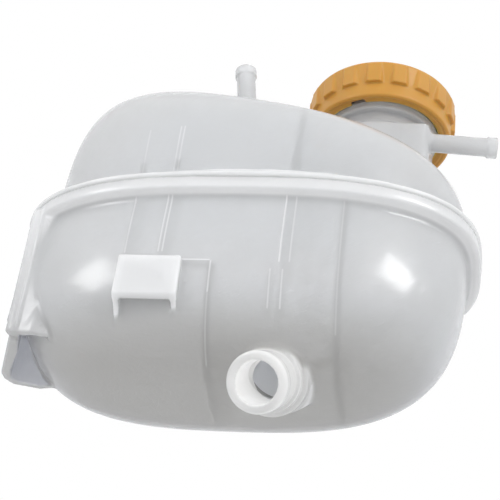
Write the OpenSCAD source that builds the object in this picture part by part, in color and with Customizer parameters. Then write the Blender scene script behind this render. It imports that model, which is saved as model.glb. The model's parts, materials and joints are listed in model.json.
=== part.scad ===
// Coolant expansion tank for a car engine bay: two milky plastic shells welded at a flange,
// with hose connections, a side pocket and a front socket for its brackets, and a screwed
// pressure cap that carries a relief valve and a vacuum valve.
// Lengths are millimetres. +Z is up and square to the weld flange, -Y is the front.
// Inside the modules the centre of the weld flange is the working zero, and the finished
// pieces are shifted so that the mouth of the side pocket lies at the origin.

/* [Tank body] */
// Length of the weld flange
flange_length = 195; // [185:1:205]
// Depth of the weld flange, front to back
flange_depth = 114; // [108:1:120]
// Depth of the lower shell below the weld
lower_height = 80; // [76:1:84]
// Mean height of the dome above the weld
upper_height = 66; // [62:1:70]
// Wall thickness of both shells
wall = 3; // [2.6:0.1:3.4]
// Thickness of the flange on the lower shell
lower_rim = 5.5; // [4:0.5:7]
// Thickness of the flange on the upper shell
upper_rim = 2.5; // [2:0.5:3.5]
// Step from the flange edge in to the lower wall
lower_ledge = 5; // [4:0.5:6]
// Step from the flange edge in to the dome, left end
dome_ledge_left = 9; // [8:0.5:10]
// Step from the flange edge in to the dome, right end
dome_ledge_right = 5; // [4:0.5:6]
// Step from the flange edge in to the dome, front and back
dome_ledge_front = 3; // [2.5:0.5:5]
// How far the dome walls lean in over their height
dome_draft = 3; // [2:0.5:4]
// How far the floor lies forward of the flange centre
floor_forward = 11.5; // [9:0.5:13]
// How far the floor lies left of the flange centre
floor_left = 4; // [2:0.5:6]
// How far the top of the dome lies forward
dome_forward = 5; // [3:0.5:7]
// Fall of the dome from its left end to its right, as a share of its height
dome_fall = 0.33; // [0.28:0.01:0.36]

/* [Body roundness] */
// Squareness of the flange outline (2 is an ellipse)
flange_square = 2.75; // [2.5:0.05:3]
// Squareness of the dome seen from above
dome_square = 2.3; // [2.1:0.05:2.5]
// Squareness of the lower shell seen from the front
lower_front_square = 3.4; // [3:0.1:3.8]
// Squareness of the lower shell seen from the end
lower_end_square = 3; // [2.8:0.1:3.3]
// Squareness of the dome seen from the front
dome_front_square = 3.9; // [3.5:0.1:4.2]
// Squareness of the dome seen from the end
dome_end_square = 3; // [2.8:0.1:3.3]

/* [Baffles] */
// Thickness of the inner baffle walls
baffle_wall = 2.2; // [1.8:0.1:2.6]
// Place of the full baffle in the lower shell
lower_baffle_x = 43; // [38:1:48]
// Place of the low chamber wall in the lower shell
chamber_wall_x = -7; // [-9:1:-5]
// Height of the top of the chamber wall below the weld
chamber_wall_top = 41; // [36:1:46]
// Place of the dome baffle that reaches down as a wide tongue
dome_baffle_x = 22; // [18:1:26]
// Width of the wide tongue
wide_tongue = 4; // [3:0.5:4.5]
// Depth of the wide tongue below the weld
wide_tongue_drop = 42; // [38:1:46]
// Place of the slim tongue nearer the middle
slim_tongue_x = -27.5; // [-30:0.5:-25]
// Place of the slim tongue nearer the left end
edge_tongue_x = -42; // [-45:0.5:-39]
// Depth of the slim tongues below the weld
slim_tongue_drop = 38; // [34:1:42]
// Reach of each tongue in from the front wall
tongue_reach = 13; // [10:1:16]
// Radius of the flow holes in the baffles
flow_hole_r = 6; // [4:0.5:7]
// Gap from a tongue to the lower shell
tongue_gap = 0.6; // [0.4:0.1:1]
// Length of the ledge along the front wall, from the chamber wall to the left
ledge_length = 24; // [20:1:30]
// Reach of the ledge in from the front wall
ledge_reach = 4; // [3:0.5:6]
// Distance of the left guide rib from the dome baffle
guide_rib_left = 5.1; // [4.5:0.1:6]
// Distance between the two guide ribs
guide_rib_pitch = 4.8; // [4:0.1:5.4]
// Depth of the guide ribs' upper ends below the weld
guide_rib_top = 44; // [42:0.5:47]
// Length of the guide ribs
guide_rib_length = 17.5; // [14:0.5:20]
// Thickness of the ledge and the guide ribs
rib_wall = 1.4; // [1:0.1:1.8]
// Place of the low rib across the floor, forward of the middle of the tank
floor_rib_forward = 32; // [30:0.5:34]
// Height of the low rib above the floor
floor_rib_height = 2.4; // [1.6:0.2:3.2]

/* [Outlet] */
// Place of the outlet's root along the tank
outlet_x = 18.4; // [14:0.2:23]
// How far the outlet's root lies forward of the middle of the floor
outlet_forward = 17.8; // [15:0.2:20]
// Height of the outlet's root above the floor
outlet_rise = 1.4; // [0.6:0.2:3]
// Turn of the outlet to the left of straight forward
outlet_turn = 10; // [6:1:14]
// Dip of the outlet below level
outlet_dip = 36; // [32:1:40]
// Length of the outlet past its root
outlet_length = 22; // [20:0.5:25]
// Length of the outlet that the hose grips
outlet_grip_length = 15.5; // [13:0.5:17]
// Outside diameter of the outlet's tip bead
outlet_bead_d = 24; // [23.6:0.2:25]
// Length of the tip bead
outlet_bead_length = 6; // [4:0.5:7]
// Outside diameter of the outlet barrel
outlet_d = 23; // [22:0.2:23.4]
// Bore of the outlet
outlet_bore = 16.8; // [15.8:0.2:17.6]
// Diameter of the hose stop ring
outlet_stop_d = 26; // [25.4:0.2:27]
// Diameter of the collar at the outlet's root
outlet_root_d = 29.5; // [28:0.5:31]

/* [Hose nipples] */
// Outside diameter of both nipples
nipple_d = 9.1; // [8.7:0.1:9.5]
// Diameter of the bead at each tip
nipple_bead_d = 9.8; // [9.7:0.1:10.4]
// Length of the bead at each tip
nipple_bead_length = 5.5; // [4:0.5:6.5]
// Bore of both nipples
nipple_bore = 5.6; // [4.6:0.2:6]
// Length of the side nipple
side_nipple_length = 30.5; // [27:0.5:33]
// Depth of the side nipple's axis below the top of the vent box
side_nipple_down = 6.6; // [6:0.2:9]
// Distance of the side nipple's axis back from the face of the vent box
side_nipple_back = 7; // [6:0.5:9]
// Turn of the side nipple towards the back
side_nipple_turn = 6.5; // [4:0.5:9]
// Place of the top nipple along the tank
top_nipple_x = -7.3; // [-12:0.1:-2]
// Place of the top nipple, front to back
top_nipple_y = -20; // [-24:1:-14]
// Height of the top nipple's tip above the weld
top_nipple_tip = 93.5; // [90:0.5:98]
// Lean of the top nipple to the left
top_nipple_lean = 7.4; // [4:0.2:9]

/* [Filler neck] */
// Place of the neck's axis along the tank
neck_x = 49.5; // [47:0.5:52]
// Place of the neck's axis, front to back
neck_y = 22; // [20:1:23]
// Height of the neck's rim above the weld
neck_top = 101.8; // [99:0.2:105]
// Outside diameter of the plain tube
neck_d = 46.5; // [45:0.5:47.5]
// Outside diameter of the threaded part, under the thread
neck_thread_core_d = 52.8; // [52:0.2:53.8]
// Length of the threaded part
neck_thread_length = 14.8; // [13.8:0.1:16]
// Width of the vent box in front of the neck
vent_box_width = 37; // [34:1:39]
// Height of the vent box above the weld
vent_box_top = 78; // [77:0.5:80]
// How far the vent box stands forward of the neck's tube
vent_box_reach = 2; // [1:0.5:4]
// Wall of the vent box
vent_box_wall = 2.5; // [2:0.1:3]

/* [Side pocket] */
// Height of the pocket's mouth below the weld
pocket_drop = 66; // [62:1:69]
// Depth of the pocket above its mouth
pocket_depth = 32; // [26:1:36]
// Wall of the pocket at its front and back
pocket_wall = 2.5; // [2:0.1:3]
// Wall of the pocket along its outer side
pocket_side_wall = 4.2; // [3:0.1:4.6]
// How far the guide rail stands out of the pocket's corner
rail_proud = 2; // [1.6:0.1:2.6]
// Height of the lower end of the guide rail below the weld
rail_drop = 51; // [47:1:54]
// Length of the snap tongue under the guide rail
snap_length = 9; // [7:0.5:11]

/* [Front socket] */
// Width of the socket at its foot
socket_width = 26.5; // [24:0.5:29]
// Narrowing of the socket towards its top, each side
socket_draft = 1; // [0.5:0.1:1.5]
// Place of the middle of the socket along the tank
socket_x = -29.6; // [-33:0.2:-27]
// Height of the socket's top below the weld
socket_top = 38.6; // [36:0.2:42]
// Height of the socket's plate
socket_height = 21.5; // [19:0.5:24]
// How far the plate stands forward of the flange edge
socket_proud = 0.6; // [0.2:0.1:1.5]
// Thickness of the socket's plate and cheeks
socket_wall = 2; // [1.6:0.1:2.4]
// How far the cheeks run on below the plate
socket_cheek_run = 6; // [4:0.5:8]

/* [Cap] */
// How far the smooth collar lies outside the neck's thread core
cap_collar_reach = 6.6; // [6:0.1:7.4]
// How far the grip lobes stand out past the collar
cap_lobe_height = 1.9; // [1.4:0.1:2.4]
// Number of grip lobes
cap_lobes = 18; // [14:1:22]
// Turn of the closed cap about the neck
cap_turned = 4.5; // [0:0.5:20]
// Share of the pitch that a lobe takes at its root
cap_lobe_share = 0.68; // [0.5:0.02:0.8]
// Height of the cap
cap_height = 20; // [19:0.2:22]
// Height of the smooth collar
cap_collar_height = 7.5; // [6.5:0.5:9]
// Thickness of the cap's top
cap_top_wall = 2.2; // [1.8:0.1:2.6]
// Wall of the skirt at its lip
cap_skirt_wall = 2; // [1.6:0.1:2.3]
// Gap from the neck's thread core to the ridges in the cap
cap_thread_gap = 1.1; // [0.9:0.1:1.6]
// Length of the threaded band in the cap
cap_thread_length = 10; // [8:0.5:11]

/* [Valve insert] */
// Gap between pieces that turn or slide on each other
running_gap = 0.3; // [0.2:0.05:0.4]
// Wall of the valve housing
housing_wall = 3.4; // [3.2:0.1:3.8]
// Length of the housing below its shoulder
housing_length = 24; // [22:0.5:26]
// Thickness of the housing's head disc
housing_head = 1.7; // [1.4:0.1:2]
// Thickness of the shoulder under the head disc
housing_shoulder = 1.2; // [1:0.1:1.5]
// Thickness of the housing's floor
housing_floor = 2; // [1.6:0.1:2.4]
// Radius of the port in the housing's floor
port_r = 7.5; // [6.5:0.5:8.5]
// Thickness of the neck seal ring
seal_section = 2.6; // [2.2:0.1:2.8]
// Height of the seal's middle above the housing's foot
seal_height = 6.5; // [5.5:0.5:8]
// Width of the vent windows in the housing
window_width = 8; // [6:0.5:10]
// Height of the vent windows in the housing
window_height = 5; // [4:0.5:6]

/* [Valves] */
// Radius of the relief valve plate
relief_r = 12; // [11:0.5:13]
// Thickness of the relief valve plate
relief_plate_t = 2; // [1.6:0.1:2.4]
// Thickness of the relief gasket
relief_gasket_t = 1.4; // [1:0.1:1.6]
// Height of the guide boss on the relief plate
relief_boss_height = 5; // [4:0.5:6]
// Outside radius of the guide boss
relief_boss_r = 5; // [4.6:0.2:5.4]
// Mean radius of the relief spring
relief_spring_r = 8; // [7:0.25:9]
// Wire of the relief spring
relief_wire = 1.4; // [1.2:0.1:1.5]
// Turns of the relief spring
relief_turns = 4; // [3:1:4]
// Thickness of the spring retainer
retainer_t = 2; // [1.6:0.1:2.4]
// Height of the retainer above the relief plate
retainer_height = 13; // [12:0.5:14]
// Radius of the vacuum valve's head
vacuum_r = 5; // [4.5:0.1:5.5]
// Thickness of the vacuum valve's head
vacuum_t = 1.2; // [1:0.1:1.4]
// Thickness of the vacuum valve's soft face
vacuum_face_t = 0.8; // [0.6:0.1:1]
// Radius of the vacuum valve's stem
stem_r = 1.2; // [1:0.1:1.4]
// Length of the stem above the guide boss
stem_over = 6.5; // [6:0.25:7]
// Thickness of the clip on the stem
clip_t = 0.8; // [0.6:0.1:1]
// Radius of the clip on the stem
clip_r = 3; // [2.8:0.1:3.4]
// Wire of the vacuum spring
vacuum_wire = 0.5; // [0.4:0.1:0.6]
// Turns of the vacuum spring
vacuum_turns = 3; // [2:1:4]

/* [Hidden] */

milky = [0.87, 0.88, 0.89, 0.6];
orange = [0.83, 0.59, 0.22];
black = [0.12, 0.12, 0.13];
grey = [0.35, 0.36, 0.38];
rubber = [0.16, 0.16, 0.17];
steel = [0.7, 0.7, 0.72];
brass = [0.78, 0.66, 0.36];

round_fn = 96;
small_fn = 48;
ring_points = 64;
ring_steps = 12;
overlap = 1;
half_length = flange_length / 2;
half_depth = flange_depth / 2;
lower_half_length = half_length - lower_ledge;
lower_half_depth = half_depth - lower_ledge;
outlet_y = -floor_forward - outlet_forward;
outlet_z = -lower_height + outlet_rise;
outlet_buried = 18;
nipple_buried = 4;
socket_face = half_depth + socket_proud;
neck_foot_z = 10;
vent_box_foot_z = 12;
baffle_hole_ys = [-28, 0, 26];
baffle_hole_z = -50;
chamber_hole_y = 8;
chamber_hole_z = -60;
dome_hole_ys = [-24, 22];
dome_hole_z = 26;
guide_rib_reach = 2;
tongue_root_z = 14;
vent_box_front = neck_y - neck_d / 2 - vent_box_reach;
vent_box_right = neck_x + vent_box_width * 0.65;
vent_box_left = vent_box_right - vent_box_width;
side_nipple_y = vent_box_front + side_nipple_back;
side_nipple_z = vent_box_top - side_nipple_down;

// Heights in the cap, stacked up from the neck's rim.
shoulder_z = neck_top + running_gap;
head_z = shoulder_z + housing_shoulder;
cap_under_z = head_z + housing_head + running_gap;
cap_top_z = cap_under_z + cap_top_wall;
cap_foot_z = cap_top_z - cap_height;
lobe_foot_z = cap_foot_z + cap_collar_height;
neck_shelf_z = neck_top - neck_thread_length;
neck_bore_r = neck_d / 2 - wall;
neck_mouth_r = neck_thread_core_d / 2 - wall;
cap_collar_d = neck_thread_core_d + 2 * cap_collar_reach;
cap_d = cap_collar_d + 2 * cap_lobe_height;
cap_thread_d = neck_thread_core_d + 2 * cap_thread_gap;
housing_r = neck_bore_r - running_gap;
housing_inner_r = housing_r - housing_wall;
housing_foot_z = shoulder_z - housing_length;
seat_z = housing_foot_z + housing_floor;
gasket_z = seat_z + running_gap;
plate_z = gasket_z + relief_gasket_t;
plate_top_z = plate_z + relief_plate_t;
boss_top_z = plate_top_z + relief_boss_height;
retainer_z = plate_top_z + retainer_height;
retainer_r = housing_inner_r + 0.6;
retainer_spigot = 1.5;
seal_z = housing_foot_z + seal_height;
head_r = neck_thread_core_d / 2 - 3 * running_gap;
lip_r = head_r - 2 * running_gap;
shoulder_r = lip_r - 2 * running_gap;
snap_ring_r = head_r + running_gap;
snap_ring_wall = 1.4;
snap_lip_t = 0.8;
snap_lip_z = head_z - running_gap;
seal_clearance = 0.08;
seal_groove_r = neck_bore_r - seal_clearance - seal_section;
groove_side_gap = 0.1;
cap_root_r = cap_collar_d / 2 - cap_skirt_wall;
stem_top_z = boss_top_z + stem_over;
clip_z = stem_top_z - 2.5 * clip_t;
clip_groove = 0.35;
stem_bore_r = stem_r + 0.35;
vacuum_top_z = plate_z - running_gap - vacuum_face_t;

// Outlines of the side pocket seen from above, as offsets from the left end of the flange.
pocket_x = -half_length;
pocket_corner = [pocket_x + 10, -35.5];
pocket_back = [pocket_x - 0.5, -7];
pocket_turn = [pocket_x + 2.6, 1.5];
pocket_heel = [pocket_x + 13.5, 4.8];
pocket_root_front = [pocket_x + 30, -28];
pocket_root_back = [pocket_x + 25.5, 2.5];
pocket_along = (pocket_back - pocket_corner) / norm(pocket_back - pocket_corner);
pocket_inward = [pocket_along[1], -pocket_along[0]];
origin = [pocket_x + 11.5, -14, -pocket_drop];

// A superellipse's rest at share s of its half-height.
function rest(s, m) = pow(max(0, 1 - pow(s, m)), 1 / m);
function signed_pow(v, e) = sign(v) * pow(abs(v), e);
function oval(cx, cy, hx, hy, n, count) =
    [for (i = [0:count - 1]) let (t = 360 * i / count)
        [cx + hx * signed_pow(cos(t), 2 / n), cy + hy * signed_pow(sin(t), 2 / n)]];

// Share of the half-height at step k of count, closer together where the wall turns over.
function share(k, count, m) = pow(sin(90 * k / count), 2 / m);

// Lower shell: centre, half-axes and height at share s, set in by w from the outer skin.
function lower_cx(s) = -floor_left * s;
function lower_cy(s) = -floor_forward * s;
function lower_hx(s, w) = (lower_half_length - w) * rest(s, lower_front_square);
function lower_hy(s, w) = (lower_half_depth - w) * rest(s, lower_end_square);
function lower_z(s, w) = -(lower_height - w) * s;
function lower_ring(s, w) =
    [for (p = oval(lower_cx(s), lower_cy(s), lower_hx(s, w), lower_hy(s, w), flange_square, ring_points))
        [p[0], p[1], lower_z(s, w)]];

// Dome: the same, with its top falling to the right.
function dome_left(s, w) =
    (half_length - dome_ledge_left - dome_draft * s - w) * rest(s, dome_front_square);
function dome_right(s, w) =
    (half_length - dome_ledge_right - dome_draft * s - w) * rest(s, dome_front_square);
function dome_cx(s, w) = (dome_right(s, w) - dome_left(s, w)) / 2;
function dome_hx(s, w) = (dome_right(s, w) + dome_left(s, w)) / 2;
function dome_cy(s) = -dome_forward * s;
function dome_hy(s, w) =
    (half_depth - dome_ledge_front - dome_draft * s - w) * rest(s, dome_end_square);
function dome_z(s, w, x) = (upper_height - w) * s * (1 - dome_fall * x / lower_half_length);
function dome_ring(s, w) =
    [for (p = oval(dome_cx(s, w), dome_cy(s), dome_hx(s, w), dome_hy(s, w), dome_square, ring_points))
        [p[0], p[1], dome_z(s, w, p[0])]];
function flat_ring(points, z) = [for (p = points) [p[0], p[1], z]];
function flange_outline() = oval(0, 0, half_length, half_depth, flange_square, ring_points);

// Half-width at x of a superellipse section, or -1 past its end.
function half_at(x, cx, hx, hy, n) =
    let (u = abs(x - cx) / max(hx, 0.01)) u < 1 ? hy * pow(1 - pow(u, n), 1 / n) : -1;
function lower_half_at(x, s, w) = half_at(x, lower_cx(s), lower_hx(s, w), lower_hy(s, w), flange_square);
function dome_half_at(x, s, w) = half_at(x, dome_cx(s, w), dome_hx(s, w), dome_hy(s, w), dome_square);
function lower_share(z, w) = min(0.98, -z / (lower_height - w));
function lower_front_at(x, s, w) = [lower_cy(s) - lower_half_at(x, s, w), lower_z(s, w)];
function lower_front_y(x, z, w) = lower_front_at(x, lower_share(z, w), w)[0];
function lower_floor_z(x, y) =
    min([for (k = [1:60]) let (s = k / 60.5)
        abs(y - lower_cy(s)) < lower_half_at(x, s, 0) ? lower_z(s, 0) : 0]);
function dome_top_z(x, y, w) =
    max([for (k = [1:60]) let (s = k / 60.5)
        abs(y - dome_cy(s)) < dome_half_at(x, s, w) ? dome_z(s, w, x) : 0]);

// A closed solid through a pole point and a stack of rings, flat at its last ring.
module stacked_rings(pole, rings) {
    n = len(rings[0]);
    last = len(rings) - 1;
    points = concat([pole], [for (ring = rings) each ring]);
    fan = [for (i = [0:n - 1]) [0, 1 + (i + 1) % n, 1 + i]];
    sides = [for (r = [0:last - 1], i = [0:n - 1])
        let (a = 1 + r * n + i, b = 1 + r * n + (i + 1) % n)
            each [[a, b, b + n], [a, b + n, a + n]]];
    lid = [[for (i = [0:n - 1]) 1 + last * n + i]];
    polyhedron(points, concat(fan, sides, lid), convexity = 6);
}

module lower_body_outer() {
    shares = [for (k = [ring_steps - 1:-1:1]) share(k, ring_steps, lower_front_square)];
    outline = flange_outline();
    mirror([0, 0, 1])
        stacked_rings([lower_cx(1), lower_cy(1), lower_height],
            concat([for (s = shares) [for (p = lower_ring(s, 0)) [p[0], p[1], -p[2]]]],
                [flat_ring(lower_ring(0, 0), lower_rim), flat_ring(outline, lower_rim),
                    flat_ring(outline, 0)]));
}

module lower_body_inner() {
    shares = [for (k = [ring_steps - 1:-1:1]) share(k, ring_steps, lower_front_square)];
    mirror([0, 0, 1])
        stacked_rings([lower_cx(1), lower_cy(1), lower_height - wall],
            concat([for (s = shares) [for (p = lower_ring(s, wall)) [p[0], p[1], -p[2]]]],
                [flat_ring(lower_ring(0, wall), 0), flat_ring(lower_ring(0, wall), -overlap)]));
}

module dome_outer() {
    shares = [for (k = [ring_steps - 1:-1:1]) share(k, ring_steps, dome_front_square)];
    outline = flange_outline();
    x = dome_cx(1, 0);
    stacked_rings([x, dome_cy(1), dome_z(1, 0, x)],
        concat([for (s = shares) dome_ring(s, 0)],
            [flat_ring(dome_ring(0, 0), upper_rim), flat_ring(outline, upper_rim), flat_ring(outline, 0)]));
}

module dome_inner() {
    shares = [for (k = [ring_steps - 1:-1:1]) share(k, ring_steps, dome_front_square)];
    x = dome_cx(1, wall);
    stacked_rings([x, dome_cy(1), dome_z(1, wall, x)],
        concat([for (s = shares) dome_ring(s, wall)],
            [flat_ring(dome_ring(0, wall), 0), flat_ring(dome_ring(0, wall), -overlap)]));
}

// A wall across the tank at x, drawn as its outline in the YZ plane.
module cross_wall(x, thick) {
    translate([x - thick / 2, 0, 0])
        rotate([90, 0, 90])
            linear_extrude(thick) children();
}

// A round hole through a baffle, centred on its wall.
module flow_hole(centre) {
    translate(centre - [baffle_wall, 0, 0])
        rotate([0, 90, 0]) cylinder(r = flow_hole_r, h = 2 * baffle_wall, $fn = small_fn);
}

module lower_section(x, top) {
    first = top / lower_height;
    steps = [for (k = [0:14]) first + (0.99 - first) * k / 14];
    shares = [for (s = steps) if (lower_half_at(x, s, wall / 2) > 1) s];
    front = [for (s = shares) [lower_cy(s) - lower_half_at(x, s, wall / 2), lower_z(s, wall / 2)]];
    back = [for (s = shares) [lower_cy(s) + lower_half_at(x, s, wall / 2), lower_z(s, wall / 2)]];
    polygon(concat(front, [for (k = [len(back) - 1:-1:0]) back[k]]));
}

module dome_section(x) {
    steps = [for (k = [0:14]) 0.99 * k / 14];
    shares = [for (s = steps) if (dome_half_at(x, s, wall / 2) > 1) s];
    front = [for (s = shares) [dome_cy(s) - dome_half_at(x, s, wall / 2), dome_z(s, wall / 2, x)]];
    back = [for (s = shares) [dome_cy(s) + dome_half_at(x, s, wall / 2), dome_z(s, wall / 2, x)]];
    polygon(concat(front, [for (k = [len(back) - 1:-1:0]) back[k]]));
}

// A tongue that hangs from the dome's front wall and follows the inside of the lower shell down.
module tongue_section(x, drop) {
    seat = dome_cy(0) - dome_half_at(x, 0, wall / 2);
    heights = [for (k = [0:6]) -drop * k / 6];
    front = [for (z = heights) [lower_front_y(x, z, wall) + tongue_gap, z]];
    back = seat + tongue_reach;
    polygon(concat([[seat + 1, tongue_root_z], [seat, 0]], front,
        [[front[6][0] + tongue_reach * 0.4, -drop], [back, -drop * 0.2], [back, 2],
            [seat + 3, tongue_root_z]]));
}

// A short ledge on the inside of the front wall, level with the top of the chamber wall.
module front_ledge() {
    z = -chamber_wall_top;
    xs = [for (k = [0:6]) chamber_wall_x - ledge_length * k / 6];
    front = [for (x = xs) [x, lower_front_y(x, z, wall / 2)]];
    back = [for (k = [6:-1:0]) [xs[k], lower_front_y(xs[k], z, wall) + ledge_reach]];
    translate([0, 0, z - rib_wall])
        linear_extrude(rib_wall) polygon(concat(front, back));
}

// Two upright ribs on the inside of the front wall, below the wide tongue.
module guide_ribs() {
    heights = [for (k = [0:4]) -guide_rib_top - guide_rib_length * k / 4];
    for (x = [dome_baffle_x - guide_rib_left, dome_baffle_x - guide_rib_left + guide_rib_pitch])
        cross_wall(x, rib_wall)
            polygon(concat([for (z = heights) [lower_front_y(x, z, wall / 2), z]],
                [for (k = [4:-1:0]) [lower_front_y(x, heights[k], wall) + guide_rib_reach, heights[k]]]));
}

// A low rib across the floor, which joins the feet of the chamber wall and the full baffle.
module floor_rib() {
    xs = [for (k = [0:6]) chamber_wall_x + (lower_baffle_x - chamber_wall_x) * k / 6];
    floor_zs = [for (x = xs) lower_floor_z(x, -floor_rib_forward)];
    translate([0, rib_wall / 2 - floor_rib_forward, 0])
        rotate([90, 0, 0])
            linear_extrude(rib_wall)
                polygon(concat([for (k = [0:6]) [xs[k], floor_zs[k] + wall / 2]],
                    [for (k = [6:-1:0]) [xs[k], floor_zs[k] + wall + floor_rib_height]]));
}

module placed_outlet() {
    translate([outlet_x, outlet_y, outlet_z])
        rotate([90 + outlet_dip, 0, -outlet_turn]) children();
}

module outlet_solid() {
    root_r = outlet_root_d / 2;
    stop_r = outlet_stop_d / 2;
    barrel_r = outlet_d / 2;
    bead_r = outlet_bead_d / 2;
    stop_z = outlet_length - outlet_grip_length;
    bead_z = outlet_length - outlet_bead_length;
    edge = 1.2;
    rotate_extrude($fn = round_fn)
        polygon([[0, -outlet_buried], [root_r, -outlet_buried], [root_r, 1.4], [root_r - 0.6, 2.2],
            [stop_r, 2.6], [stop_r, stop_z], [barrel_r, stop_z], [barrel_r, bead_z], [bead_r, bead_z + 0.6],
            [bead_r, outlet_length - edge], [bead_r - edge * 0.4, outlet_length - edge * 0.4],
            [bead_r - edge, outlet_length], [0, outlet_length]]);
}

module outlet_bore_cut() {
    placed_outlet()
        translate([0, 0, 2 - outlet_buried])
            cylinder(d = outlet_bore, h = outlet_buried + outlet_length, $fn = round_fn);
}

// A hose nipple along +Z from its root, with a rounded bead at its tip.
module nipple_solid(length) {
    r = nipple_d / 2;
    bead = nipple_bead_d / 2;
    bead_z = length - nipple_bead_length;
    edge = 0.9;
    rotate_extrude($fn = small_fn)
        polygon([[0, -nipple_buried], [r, -nipple_buried], [r, bead_z], [bead, bead_z + 0.8],
            [bead, length - edge], [bead - edge, length], [0, length]]);
}

module nipple_bore_cut(length, depth) {
    translate([0, 0, -depth])
        cylinder(d = nipple_bore, h = depth + length + overlap, $fn = small_fn);
}

module placed_side_nipple() {
    translate([vent_box_right, side_nipple_y, side_nipple_z])
        rotate([0, 90, side_nipple_turn]) children();
}

top_nipple_root = dome_top_z(top_nipple_x, top_nipple_y, 0) - 1;
top_nipple_length = (top_nipple_tip - top_nipple_root) / cos(top_nipple_lean);
module placed_top_nipple() {
    translate([top_nipple_x, top_nipple_y, top_nipple_root])
        rotate([0, -top_nipple_lean, 0]) children();
}

module pocket_outline() {
    polygon([pocket_root_front, pocket_corner, pocket_back, pocket_back + [0.3, 4.5], pocket_turn,
        pocket_heel, pocket_root_back]);
}

module pocket_block() {
    difference() {
        translate([0, 0, -pocket_drop])
            linear_extrude(pocket_drop - lower_rim / 2) pocket_outline();
        translate([0, 0, -pocket_drop - overlap])
            linear_extrude(pocket_depth + overlap)
                polygon([pocket_root_front + [0, pocket_wall],
                    pocket_corner + pocket_inward * pocket_side_wall + pocket_along * (pocket_wall + 2),
                    pocket_back + pocket_inward * pocket_side_wall - pocket_along * pocket_wall,
                    pocket_turn + [pocket_wall, -pocket_wall],
                    pocket_heel + [0, -pocket_wall], pocket_root_back + [0, -pocket_wall]]);
    }
}

module pocket_rail() {
    corner = pocket_corner;
    translate([0, 0, -rail_drop])
        linear_extrude(rail_drop - lower_rim / 2)
            polygon([corner + [-rail_proud, -0.8], corner + [-rail_proud + 2, -1.6], corner + [3, 0.4],
                corner + [1, 3], corner + [-rail_proud + 0.4, 2.4]]);
    translate([0, 0, -pocket_drop])
        linear_extrude(pocket_drop - lower_rim / 2)
            polygon([corner + [3.2, 2.2], corner + [3.2, 0.6], corner + [4, -0.6], corner + [5.4, -0.2],
                corner + [5.6, 1.4], corner + [5.6, 3]]);
}

module snap_tongue() {
    corner = pocket_corner;
    outer_x = corner[0] - rail_proud;
    foot = -rail_drop - snap_length;
    translate([0, corner[1] + 2.4, 0])
        rotate([90, 0, 0])
            linear_extrude(3.4)
                polygon([[corner[0] + 1, -rail_drop + 5], [outer_x + 0.4, -rail_drop + 3],
                    [outer_x - 0.3, foot + 1], [outer_x + 0.4, foot], [outer_x + 1.4, foot + 0.8],
                    [corner[0] - 0.2, -rail_drop - 1.2], [corner[0] + 1, -rail_drop - 0.6]]);
}

module socket_cheek(side) {
    foot = -socket_top - socket_height;
    cheek_foot = foot - socket_cheek_run;
    inner_y = -socket_face + socket_wall;
    x = socket_x + side * (socket_width - socket_wall) / 2;
    low = lower_share(cheek_foot, wall / 2);
    high = lower_share(-socket_top, wall / 2);
    cross_wall(x, socket_wall)
        polygon(concat([[inner_y, -socket_top], [-socket_face, -socket_top - 2], [-socket_face, foot],
            lower_front_at(socket_x, lower_share(cheek_foot, 0), 0) - [0.2, 0]],
            [for (k = [0:4]) lower_front_at(x, low + (high - low) * k / 4, wall / 2)]));
}

module front_socket() {
    foot = -socket_top - socket_height;
    half = socket_width / 2;
    for (side = [-1, 1]) socket_cheek(side);
    translate([0, -socket_face + socket_wall, 0])
        rotate([90, 0, 0])
            linear_extrude(socket_wall)
                polygon([[socket_x - half, foot], [socket_x + half, foot],
                    [socket_x + half - socket_draft * 0.2, -socket_top - 2],
                    [socket_x + half - socket_draft, -socket_top],
                    [socket_x - half + socket_draft, -socket_top],
                    [socket_x - half + socket_draft * 0.2, -socket_top - 2]]);
    translate([socket_x - half + socket_draft, -socket_face + socket_wall, -socket_top - socket_wall])
        cube([socket_width - 2 * socket_draft, 6, socket_wall]);
}

module lower_shell() {
    color(milky) translate(-origin) {
        difference() {
            union() {
                lower_body_outer();
                placed_outlet() outlet_solid();
                pocket_block();
                pocket_rail();
                snap_tongue();
                front_socket();
            }
            lower_body_inner();
            outlet_bore_cut();
        }
        difference() {
            cross_wall(lower_baffle_x, baffle_wall) lower_section(lower_baffle_x, 0.2);
            for (y = baffle_hole_ys)
                flow_hole([lower_baffle_x, y, baffle_hole_z]);
        }
        difference() {
            cross_wall(chamber_wall_x, baffle_wall) lower_section(chamber_wall_x, chamber_wall_top);
            flow_hole([chamber_wall_x, chamber_hole_y, chamber_hole_z]);
        }
        difference() {
            floor_rib();
            outlet_bore_cut();
        }
        front_ledge();
        guide_ribs();
    }
}

module vent_box_outline(set_in) {
    left = vent_box_left + set_in;
    right = vent_box_right - set_in;
    front = vent_box_front + set_in;
    back = neck_y - set_in;
    polygon([[left, front + 1.2], [left + 1.2, front], [right - 1.5, front], [right, front + 1.5],
        [right, back - 9], [right - 7, back], [neck_x, back], [left, back - 12]]);
}

module neck_solid() {
    tube_r = neck_d / 2;
    core_r = neck_thread_core_d / 2;
    edge = 0.6;
    translate([neck_x, neck_y, 0])
        rotate_extrude($fn = round_fn)
            polygon([[0, neck_foot_z], [tube_r, neck_foot_z], [tube_r, neck_shelf_z - 1.4],
                [tube_r + edge, neck_shelf_z - 0.8], [core_r - edge, neck_shelf_z],
                [core_r, neck_shelf_z + edge], [core_r, neck_top - edge],
                [core_r - edge, neck_top], [0, neck_top]]);
}

module neck_bore_cut() {
    translate([neck_x, neck_y, neck_foot_z - overlap])
        cylinder(r = neck_bore_r, h = neck_top, $fn = round_fn);
    translate([neck_x, neck_y, neck_shelf_z + wall / 2])
        cylinder(r = neck_mouth_r, h = neck_thread_length, $fn = round_fn);
}

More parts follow.
